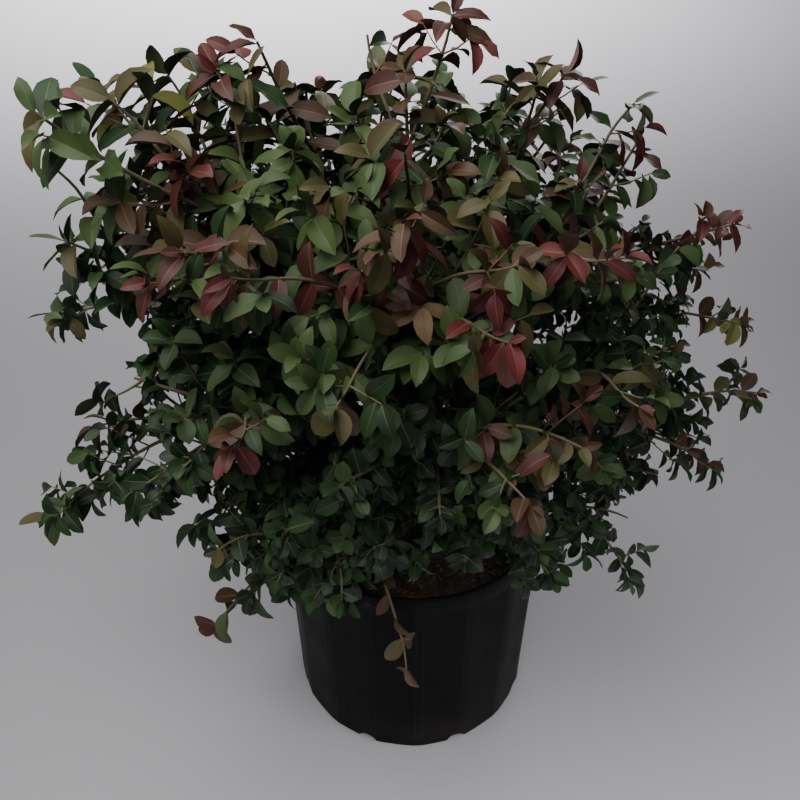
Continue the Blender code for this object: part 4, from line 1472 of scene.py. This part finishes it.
tint_materials = []
for tints, roughness in ((BLADE_TINTS, LEAF_ROUGHNESS), (RIB_TINTS, 0.5), (UNDER_TINTS, 0.62)):
    for name, colour in tints.items():
        tint_materials.append(new_material(name, colour, roughness, LEAF_GLOSS)[0])
twig_materials = [new_material(name, colour, 0.62, 0.35)[0] for name, colour in TWIG_TINTS.items()]
BLADE_NAMES = list(BLADE_TINTS)
TURNING_TINTS = BLADE_NAMES.index("leaf_pale_rose") + 1
FIRST_RIB = len(BLADE_TINTS)
FIRST_UNDER = FIRST_RIB + len(RIB_TINTS)
print(len(tint_materials), "leaf materials and", len(twig_materials), "twig materials")

# %% [markdown]
# ## Growing twigs and leaves
#
# Every twig of the solid model is grown again here and carried on to finer ones. A burning bush sets its
# buds in opposite pairs, each pair a quarter turn from the last. So a twig bears pairs of short
# side shoots, those bear pairs of leaves, and every shoot ends in a small whorl of larger leaves
# that hang a little. Leaves turn their upper side to the light, which comes from above and from
# outside the crown. A leaf that would stand too close to another, or in the pot, is left out.

# %% Grower
TWIG_RADIUS = 0.0030
TWIG_TIP_RADIUS = 0.0014
KNEE_SHARE = 0.4
SIDE_TWIG_SHARE = 0.72
SIDE_TWIG_LEAD = 1.1
LEAST_REACH = 4.0
MOST_REACH = 0.97
LOW_ARCH = 0.14
HIGH_SAG = 0.12
FRONT_ARCH = 0.22
END_SHOOT = 0.042
LONG_END_SHOOT = 0.034
NODE_SPACING = (0.019, 0.030)
END_ZONES = {"long": 0.080, "hanging": 0.110, "flank": 0.070, "front": 0.060, "even": 0.040, "inner": 0.020}
HIGH_END_ZONE = 0.055
SIDE_SHOOT_SHARE = 0.50
SIDE_SHOOT_LONGEST = (0.055, 0.080)
SIDE_SHOOT_SHORTEST = 0.016
SIDE_SHOOT_ANGLE = 52.0
FAN_ANGLE = 62.0
WHORL_DROOPS = (0.3, 0.5, 0.8, 1.2)
UPRIGHT, HANGING = 0.3, 1.5
PAIR_SPACING = (0.0105, 0.0200)
END_PAIR_SPACING = (0.0150, 0.0290)
SPARSE_PAIR_SPACING = (0.0240, 0.0300)
LEAF_SPACING = 0.32
LEAF_LAYER = 0.12
LEAF_SHARE = 0.58
ROOM_CELL = 0.032
NEAR_CELLS = [(x, y, z) for x in (-1, 0, 1) for y in (-1, 0, 1) for z in (-1, 0, 1)]
SHOOT_RADIUS = 0.0010
SHOOT_TIP_RADIUS = 0.0006
OUTSIDE_SHARE = 1.04
Leaf = namedtuple("Leaf", "root turn size shape blade rib under")


def crown_share(point):
    """How far out a point is: 0 in the crown's middle, 1 on its outline."""
    offset = point - CROWN_MIDDLE
    return offset.length / crown_reach(offset.normalized())


def smooth_share(value, low, high):
    share = min(1.0, max(0.0, (value - low) / (high - low)))
    return share * share * (3.0 - 2.0 * share)


class Grower:
    """Grows the twigs and leaves of one mass."""

    def __init__(self, index, mass):
        self.index = index
        self.mass = mass
        self.random = random.Random(SEED + index)
        self.twigs = {name: [] for name in TWIG_TINTS}
        self.leaves = []
        self.cells = {}
        self.is_long = False
        self.is_hanging = False

    def near(self, value, spread):
        return value * self.random.uniform(1.0 - spread, 1.0 + spread)

    def light_at(self, point, jitter=0.42):
        outward = (point - CROWN_MIDDLE).normalized()
        shift = Vector([self.random.uniform(-jitter, jitter) for _ in range(3)])
        if self.is_hanging:
            level = Vector((outward.x, outward.y, 0.0)).normalized()
            return (level + UP * 0.45 + shift * 0.5).normalized()
        return (outward * 0.62 + UP * 0.72 + shift).normalized()

    def grow_path(self, root, direction, length, pull, strength, steps):
        """A shoot that bends step by step towards a direction."""
        points = [root]
        heading = direction.normalized()
        for _ in range(steps):
            shift = Vector([self.random.uniform(-0.06, 0.06) for _ in range(3)])
            heading = (heading + pull * strength / steps + shift).normalized()
            points.append(points[-1] + heading * length / steps)
        return points

    def leaf_length(self, point):
        low, high = (0.0265, 0.0390) if self.is_long else (0.0200, 0.0372)
        return (low + (high - low) * self.height(point)) * (1.0 - 0.20 * smooth_share(point.x, -0.25, 0.25))

    def height(self, point):
        """How high up a point is in the crown, from 0 to 1: leaves are larger and sparser higher up."""
        return smooth_share(point.z, 0.48, 0.79)

    def spacing(self, values, point):
        """A distance between leaves or shoots, from its low and high value, with a little chance."""
        low, high = values
        return self.near(low + (high - low) * self.height(point), 0.15)

    def has_room(self, middle, normal, length):
        """True where no other leaf is too near, or in the same plane and partly under this one."""
        cell = tuple(int(math.floor(value / ROOM_CELL)) for value in middle)
        for dx, dy, dz in NEAR_CELLS:
            for other in self.cells.get((cell[0] + dx, cell[1] + dy, cell[2] + dz), ()):
                offset = other - middle
                apart = offset.length
                above = abs(offset.dot(normal))
                if apart < LEAF_SPACING * length:
                    return False
                if above < LEAF_LAYER * length and apart < LEAF_SHARE * length:
                    return False
        self.cells.setdefault(cell, []).append(middle)
        return True

    def add_leaf(self, root, direction, size, tint, droop=0.0):
        """A leaf with its root in the twig and its upper side to the light."""
        stray = Vector([self.random.uniform(-0.16, 0.16) for _ in range(3)])
        along = (direction.normalized() - UP * droop + stray).normalized()
        length = self.near(self.leaf_length(root) * size, 0.18)
        middle = root + along * 0.5 * length
        tip = root + along * length
        spare = 0.04 if self.is_hanging else 0.004
        if margins([middle], self.index)[0] < -spare or margins([tip], self.index)[0] < -0.012 - spare:
            return
        if is_open(middle) or not (clear_of_pot(middle, 0.004) and clear_of_pot(tip, 0.002)):
            return
        facing = self.light_at(root)
        across = facing.cross(along)
        if across.length < 0.2:
            across = UP.cross(along)
        across.normalize()
        normal = along.cross(across)
        if not self.has_room(middle, normal, length):
            return
        roll = math.radians(self.random.uniform(-32.0, 32.0))
        turn = Matrix.Rotation(roll, 3, along) @ Matrix((along, across, normal)).transposed()
        roundness = (0.56 if self.is_long else 0.65) - 0.10 * self.height(root)
        width = self.near(length * roundness, 0.10)
        shape = self.random.choices(range(len(LEAF_SHAPES)), (2, 3, 3, 2))[0]
        blade = self.near_tint(tint)
        is_warm = blade in WARM_TINTS
        rib = FIRST_RIB + (1 if is_warm else 0)
        under = FIRST_UNDER + (1 if is_warm else 0)
        scale = (length, width, length)
        self.leaves.append(Leaf(tuple(root), tuple(turn.to_euler()), scale, shape, blade, rib, under))

    def near_tint(self, tint):
        """The spray's tint, or now and then the one beside it."""
        shift = self.random.choices((-2, -1, 0, 1), (0.06, 0.18, 0.60, 0.16))[0]
        return min(max(tint + shift, 0), TURNING_TINTS - 1) if tint < TURNING_TINTS else tint

    def older(self, tint):
        """The tint one step greener: the leaves behind a shoot's end turn later."""
        return max(0, tint - 1) if tint < TURNING_TINTS else tint

    def spray_tint(self, point):
        """The tint of a spray by where it is: green inside and low, red at the ends high up, with painted shade
        in the darkest green inside and low down, and painted light that keeps the top lighter.
        """
        out = smooth_share(crown_share(point), 0.68, 1.0)
        high = smooth_share(point.z, 0.40, 0.74)
        right = smooth_share(point.x, -0.35, 0.35)
        warmth_and_shade = out * (0.06 + 0.68 * high + 0.64 * right * high) + self.random.gauss(0.05, 0.13 + 0.09 * high)
        # Painted light: high up no spray takes the darkest greens, so the top of the crown comes out lighter.
        warmth_and_shade = max(warmth_and_shade, high * self.random.uniform(0.36, 0.56))
        if self.random.random() < 0.012 * out:
            return BLADE_NAMES.index("leaf_yellow_green")
        if self.random.random() < 0.008 * out:
            return BLADE_NAMES.index("leaf_tan")
        for limit, choices in WARMTH_AND_SHADE_STEPS:
            if warmth_and_shade < limit:
                return BLADE_NAMES.index(self.random.choice(choices))
        return BLADE_NAMES.index("leaf_rose_red")

    def add_pair(self, point, ahead, side, size, tint, lean=0.75, droop=0.12):
        """Two opposite leaves."""
        for sign in (1.0, -1.0):
            direction = side * sign + ahead * lean
            self.add_leaf(point, direction, size, tint, droop)

    def add_whorl(self, tip, ahead, side, tint, size, droop=None):
        """The small cluster of larger, hanging leaves at a shoot's end."""
        other = ahead.cross(side).normalized()
        droop = droop or self.random.choice(WHORL_DROOPS)
        back = tip - ahead * 0.007
        self.add_pair(back, ahead, side, size, tint, 0.35, droop)
        self.add_pair(tip - ahead * 0.002, ahead, other, size * 0.94, tint, 0.60, droop)
        self.add_leaf(tip, ahead + side * self.random.uniform(-0.5, 0.5), size * 0.80, tint, 0.5 * droop)
        if size > 1.1:
            for sign in (1.0, -1.0):
                self.add_leaf(tip, ahead + other * sign * 0.45, size * 0.55, tint, -0.1)

    def frame_at(self, path, distance):
        """The point and the heading of a path after a distance along it."""
        for first, second in zip(path, path[1:]):
            run = (second - first).length
            if distance <= run:
                return first.lerp(second, distance / run), (second - first).normalized()
            distance -= run
        return path[-1], (path[-1] - path[-2]).normalized()

    def add_twig(self, path, first_radius, last_radius, kind):
        count = len(path) - 1
        radii = [first_radius + (last_radius - first_radius) * step / count for step in range(count + 1)]
        self.twigs[kind].append((path, radii))

    def side_shoot(self, root, direction, length, tint):
        """A short side shoot with opposite leaves and a whorl at its end."""
        pull = self.light_at(root, 0.1) * 0.7 + direction * 0.2
        path = self.grow_path(root, direction, length, pull, 0.9, 4)
        end = path[-1]
        if margins([end], self.index)[0] < -0.004 or is_open(end) or not clear_of_pot(end, 0.008):
            return
        kind = "twig_red" if tint in WARM_TINTS else "twig_green"
        self.add_twig(path, SHOOT_RADIUS, SHOOT_TIP_RADIUS, kind)
        side = direction.cross(UP)
        if side.length < 0.1:
            side = direction.cross(Vector((1.0, 0.0, 0.0)))
        side.normalize()
        distance = 0.4 * self.spacing(PAIR_SPACING, root)
        while distance < length - 0.006:
            point, ahead = self.frame_at(path, distance)
            size = 0.80 + 0.20 * distance / length
            self.add_pair(point, ahead, side, size, self.older(tint), 0.6, 0.3)
            side = ahead.cross(side).normalized()
            distance += self.spacing(PAIR_SPACING, point)
        point, ahead = self.frame_at(path, length)
        self.add_whorl(path[-1], ahead, side, tint, 1.0)

    def leafy_twig(self, start, tip, kind, tint):
        """A twig to a tip and a little beyond, with side shoots, leaves and a whorl at its end."""
        span = (tip - start).length
        high = smooth_share(tip.z, 0.42, 0.66)
        outward = (tip - CROWN_MIDDLE).normalized()
        level = Vector((outward.x, outward.y, 0.0))
        is_long = kind in ("long", "hanging", "flank", "front")
        sway = UP * LOW_ARCH * (1.0 - high) + (level - UP) * HIGH_SAG * high * (0.4 if is_long else 1.0)
        if kind == "front":
            sway = UP * FRONT_ARCH
        bend = start.lerp(tip, 0.5) + sway * span
        steps = max(5, int(span / 0.016))
        path = []
        for step in range(steps + 1):
            share = step / steps
            low = start.lerp(bend, share)
            path.append(low.lerp(bend.lerp(tip, share), share))
        heading = (path[-1] - path[-2]).normalized()
        self.is_long = is_long
        self.is_hanging = kind == "hanging"
        pull = outward * (0.9 - 0.5 * high) + UP * (0.9 * high - 0.2)
        beyond = END_SHOOT * self.random.choice((0.15, 0.3, 0.5, 0.75, 1.0))
        if is_long:
            pull = outward * 1.4 - UP * 0.2 * (1.0 - high)
            beyond = LONG_END_SHOOT
        fork = path[-1]
        path += self.grow_path(path[-1], heading, beyond, pull, 0.8, 4)[1:]
        length = sum((b - a).length for a, b in zip(path, path[1:]))
        tint = BLADE_NAMES.index(tint) if tint else self.spray_tint(path[-1])
        last_radius = 0.0008 if kind == "front" else 0.0008 + 0.0004 * high
        self.add_twig(path, TWIG_RADIUS * SIDE_TWIG_SHARE, last_radius, "twig_brown")
        side = heading.cross(UP).normalized()
        spin = Matrix.Rotation(self.random.uniform(0.0, math.pi), 3, heading)
        side = (spin @ side).normalized()
        distance = max(0.20 * length, 0.022)
        end_zone = END_ZONES[kind] + HIGH_END_ZONE * smooth_share(tip.z, 0.45, 0.68)
        while distance < length - 0.007:
            point, ahead = self.frame_at(path, distance)
            side = (side - ahead * side.dot(ahead)).normalized()
            left = length - distance
            if left < end_zone:
                self.add_pair(point, ahead, side, 1.06, self.older(tint), 0.5, 0.35)
                is_sparse = kind in ("hanging", "front")
                distance += self.spacing(SPARSE_PAIR_SPACING if is_sparse else END_PAIR_SPACING, point)
            else:
                for sign in (1.0, -1.0):
                    angle = math.radians(self.near(SIDE_SHOOT_ANGLE, 0.15))
                    direction = ahead * math.cos(angle) + side * sign * math.sin(angle)
                    longest = self.spacing(SIDE_SHOOT_LONGEST, point)
                    reach = min(longest, max(SIDE_SHOOT_SHORTEST, self.near(left * SIDE_SHOOT_SHARE, 0.2)))
                    self.side_shoot(point, direction, reach, self.spray_tint(point + direction * reach))
                distance += self.spacing(NODE_SPACING, point)
            side = ahead.cross(side).normalized()
        point, ahead = self.frame_at(path, length)
        if kind == "front":
            self.add_whorl(path[-1], ahead, side, tint, 1.15, HANGING)
        elif kind == "hanging":
            self.add_pair(path[-1], ahead, side, 1.1, tint, 0.5, 0.2)
            self.add_pair(path[-1], ahead, side, 1.0, tint, 1.6, 0.2)
        else:
            size = 1.28 * self.random.uniform(0.74, 1.0)
            self.add_whorl(path[-1], ahead, side, tint, size, UPRIGHT if is_long and high > 0.5 else None)
        if kind not in ("inner", "hanging"):
            self.add_fork(fork, heading, beyond, self.spray_tint(fork))

    def add_fork(self, fork, heading, length, tint):
        """Two side shoots at the place where the solid model's twig ends in a fan."""
        aside = heading.cross(self.light_at(fork, 0.1)).normalized()
        for sign in (1.0, -1.0):
            angle = math.radians(self.near(FAN_ANGLE, 0.12))
            direction = heading * math.cos(angle) + aside * sign * math.sin(angle)
            self.side_shoot(fork, direction, self.near(length, 0.15), tint)

    def grow(self):
        """The mass's own stem, and a twig from it to each tip."""
        before, foot = self.mass.path[-2:]
        ahead = (foot - before).normalized()
        end = self.mass.end
        knee = foot + ahead * KNEE_SHARE * (end - foot).length
        path = [foot - ahead * 0.002]
        for step in range(1, 9):
            share = step / 8
            path.append(foot.lerp(knee, share).lerp(knee.lerp(end, share), share))
        self.add_twig(path, self.mass.tip_radius, TWIG_TIP_RADIUS, "twig_brown")
        axis = (end - foot).normalized()
        length = (end - foot).length
        tips = [*self.mass.twig_ends, (end + axis * 0.02, "inner", None), *self.mass.more_tips]
        for tip, kind, tint in tips:
            offset = tip - foot
            along = offset.dot(axis)
            aside = (offset - axis * along).length
            reach = min(along - SIDE_TWIG_LEAD * aside, MOST_REACH * length)
            reach = max(reach, LEAST_REACH * self.mass.tip_radius)
            start = self.frame_at(path, min(reach, length))[0]
            self.leafy_twig(start, tip, kind, tint)


WARM_TINTS = {BLADE_NAMES.index(name) for name in BLADE_NAMES if "red" in name or "rose" in name}
WARM_TINTS |= {BLADE_NAMES.index("leaf_bronze"), BLADE_NAMES.index("leaf_tan")}
# The lowest steps hold the darkest green, which is painted shade for the sprays inside and low down.
WARMTH_AND_SHADE_STEPS = (
    (0.12, ("leaf_dark_green", "leaf_dark_green", "leaf_deep_green")),
    (0.26, ("leaf_dark_green", "leaf_deep_green", "leaf_deep_green")),
    (0.37, ("leaf_deep_green", "leaf_mid_green", "leaf_mid_green")),
    (0.46, ("leaf_mid_green", "leaf_fresh_green", "leaf_olive")),
    (0.55, ("leaf_mid_green", "leaf_fresh_green", "leaf_olive", "leaf_bronze")),
    (0.66, ("leaf_olive", "leaf_bronze", "leaf_brown_red")),
    (0.82, ("leaf_bronze", "leaf_brown_red", "leaf_dull_red")),
    (0.95, ("leaf_brown_red", "leaf_dull_red", "leaf_rose_red")),
    (1.10, ("leaf_dull_red", "leaf_rose_red", "leaf_pale_rose")),
)

growers = []
for index, mass in enumerate(masses):
    grower = Grower(index, mass)
    grower.grow()
    growers.append(grower)
print("leaves of each mass:", [len(grower.leaves) for grower in growers])
print("leaves in all:", sum(len(grower.leaves) for grower in growers))

# %% [markdown]
# ## Leaves onto their twigs
#
# The grower only wrote down where each leaf goes. A Geometry Nodes tree now puts them there: each point
# carries its leaf's turn, size, shape and tints, Instance on Points sets the leaves, and Set Material
# gives each face the tint that its leaf was dealt. A mesh of loose leaves made in code would do, but
# the tree is faster and says plainly what repeats.

# %% Leaf tree
leaf_tree, leaf_in, leaf_out = new_group(
    "leaves_on_points",
    "GeometryNodeTree",
    [("Geometry", GEOMETRY, None), ("Shapes", "NodeSocketCollection", None)],
    [("Geometry", GEOMETRY)],
)
shapes_in = add(
    leaf_tree,
    "GeometryNodeCollectionInfo",
    feeds={"Collection": leaf_in["Shapes"], "Separate Children": True, "Reset Children": True},
)
turned = add(
    leaf_tree, "FunctionNodeEulerToRotation", feeds={"Euler": named(leaf_tree, "turn", "FLOAT_VECTOR")}
)
set_out = add(
    leaf_tree,
    "GeometryNodeInstanceOnPoints",
    feeds={
        "Points": leaf_in["Geometry"],
        "Instance": shapes_in.outputs[0],
        "Pick Instance": True,
        "Instance Index": named(leaf_tree, "shape", "INT"),
        "Rotation": turned.outputs[0],
        "Scale": named(leaf_tree, "size", "FLOAT_VECTOR"),
    },
)
geometry = add(leaf_tree, "GeometryNodeRealizeInstances", feeds={"Geometry": set_out.outputs[0]}).outputs[0]
by_part = add(leaf_tree, "GeometryNodeIndexSwitch", {"data_type": "INT"})
by_part.index_switch_items.new()
for slot, value in enumerate(("part", "blade", "rib", "under")):
    leaf_tree.links.new(named(leaf_tree, value, "INT"), by_part.inputs[slot])
for number, material in enumerate(tint_materials):
    is_tint = add(leaf_tree, "FunctionNodeCompare", {"data_type": "INT", "operation": "EQUAL"})
    leaf_tree.links.new(by_part.outputs[0], is_tint.inputs[2])
    is_tint.inputs[3].default_value = number
    geometry = add(
        leaf_tree,
        "GeometryNodeSetMaterial",
        feeds={"Geometry": geometry, "Selection": is_tint.outputs[0], "Material": material},
    ).outputs[0]
leaf_tree.links.new(geometry, leaf_out["Geometry"])
print(leaf_tree.name, "has", len(leaf_tree.nodes), "nodes")

# %% Leaf and twig pieces


def points_mesh(name, leaves):
    """A mesh of loose points that carry everything the leaf tree needs."""
    mesh = bpy.data.meshes.new(name)
    mesh.from_pydata([leaf.root for leaf in leaves], [], [])
    for field in ("turn", "size"):
        attribute = mesh.attributes.new(field, "FLOAT_VECTOR", "POINT")
        values = np.array([getattr(leaf, field) for leaf in leaves], np.float32)
        attribute.data.foreach_set("vector", values.ravel())
    for field in ("shape", "blade", "rib", "under"):
        attribute = mesh.attributes.new(field, "INT", "POINT")
        values = np.array([getattr(leaf, field) for leaf in leaves], np.int32)
        attribute.data.foreach_set("value", values)
    return mesh


def join_meshes(name, meshes):
    """Joins meshes into one, each keeping its own material."""
    work = bmesh.new()
    materials = []
    for mesh in meshes:
        first = len(work.faces)
        work.from_mesh(mesh)
        work.faces.ensure_lookup_table()
        for face in work.faces[first:]:
            face.material_index = len(materials)
        materials.append(mesh.materials[0])
    joined = bpy.data.meshes.new(name)
    work.to_mesh(joined)
    work.free()
    for material in materials:
        joined.materials.append(material)
    return joined


def twig_piece(grower):
    """All twigs of a mass as one piece, skinned kind by kind."""
    skins = []
    for (kind, lines), material in zip(grower.twigs.items(), twig_materials):
        if not lines:
            continue
        sides = 6 if kind == "twig_brown" else 4
        holder = add_object(f"{kind}_lines", line_mesh(f"{kind}_lines", lines))
        step = 0.010 if kind == "twig_brown" else 0.014
        skin = apply_nodes(holder, skin_tree, {"Sides": sides, "Step": step, "Relief": 0.0, "Material": material})
        drop_attributes(skin, ("thickness", "along", "around", "bark_place"))
        skins.append(skin)
        bpy.data.objects.remove(holder, do_unlink=True)
    mesh = join_meshes(f"twigs_{grower.mass.place}", skins)
    mesh.shade_smooth()
    return add_object(mesh.name, mesh)


twig_pieces, leaf_pieces = [], []
for grower in growers:
    twig_pieces.append(twig_piece(grower))
    name = f"leaves_{grower.mass.place}"
    piece = add_object(name, points_mesh(name, grower.leaves))
    mesh = apply_nodes(piece, leaf_tree, {"Shapes": leaf_shapes})
    drop_attributes(mesh, ("turn", "size", "shape", "blade", "rib", "under", "part"))
    leaf_pieces.append(piece)
for shape in list(leaf_shapes.objects):
    bpy.data.objects.remove(shape, do_unlink=True)
print("leaf triangles:", sum(count_triangles(piece.data) for piece in leaf_pieces))
print("twig triangles:", sum(count_triangles(piece.data) for piece in twig_pieces))

# %% [markdown]
# ## Handing the pieces over
#
# The CAD nodes that the new pieces stand for are hidden, and each piece is hung on the body it rides on.
# This plant has no moving part, so everything rides on the one root body.

# %% Pieces
LIMB_NODES = ["main_stem"] + [f"bough_{mass.place}" for mass in masses]
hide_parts("pot")
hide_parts("potting_mix")
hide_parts("potting_mix")
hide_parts(*LIMB_NODES)
for grower, twigs, leaves in zip(growers, twig_pieces, leaf_pieces):
    node = f"foliage_{grower.mass.place}"
    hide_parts(node)
    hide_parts(node)
for piece in (pot, mix, chips, wood, *twig_pieces, *leaf_pieces):
    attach(piece, "root")
print(4 + len(twig_pieces) + len(leaf_pieces), "pieces")
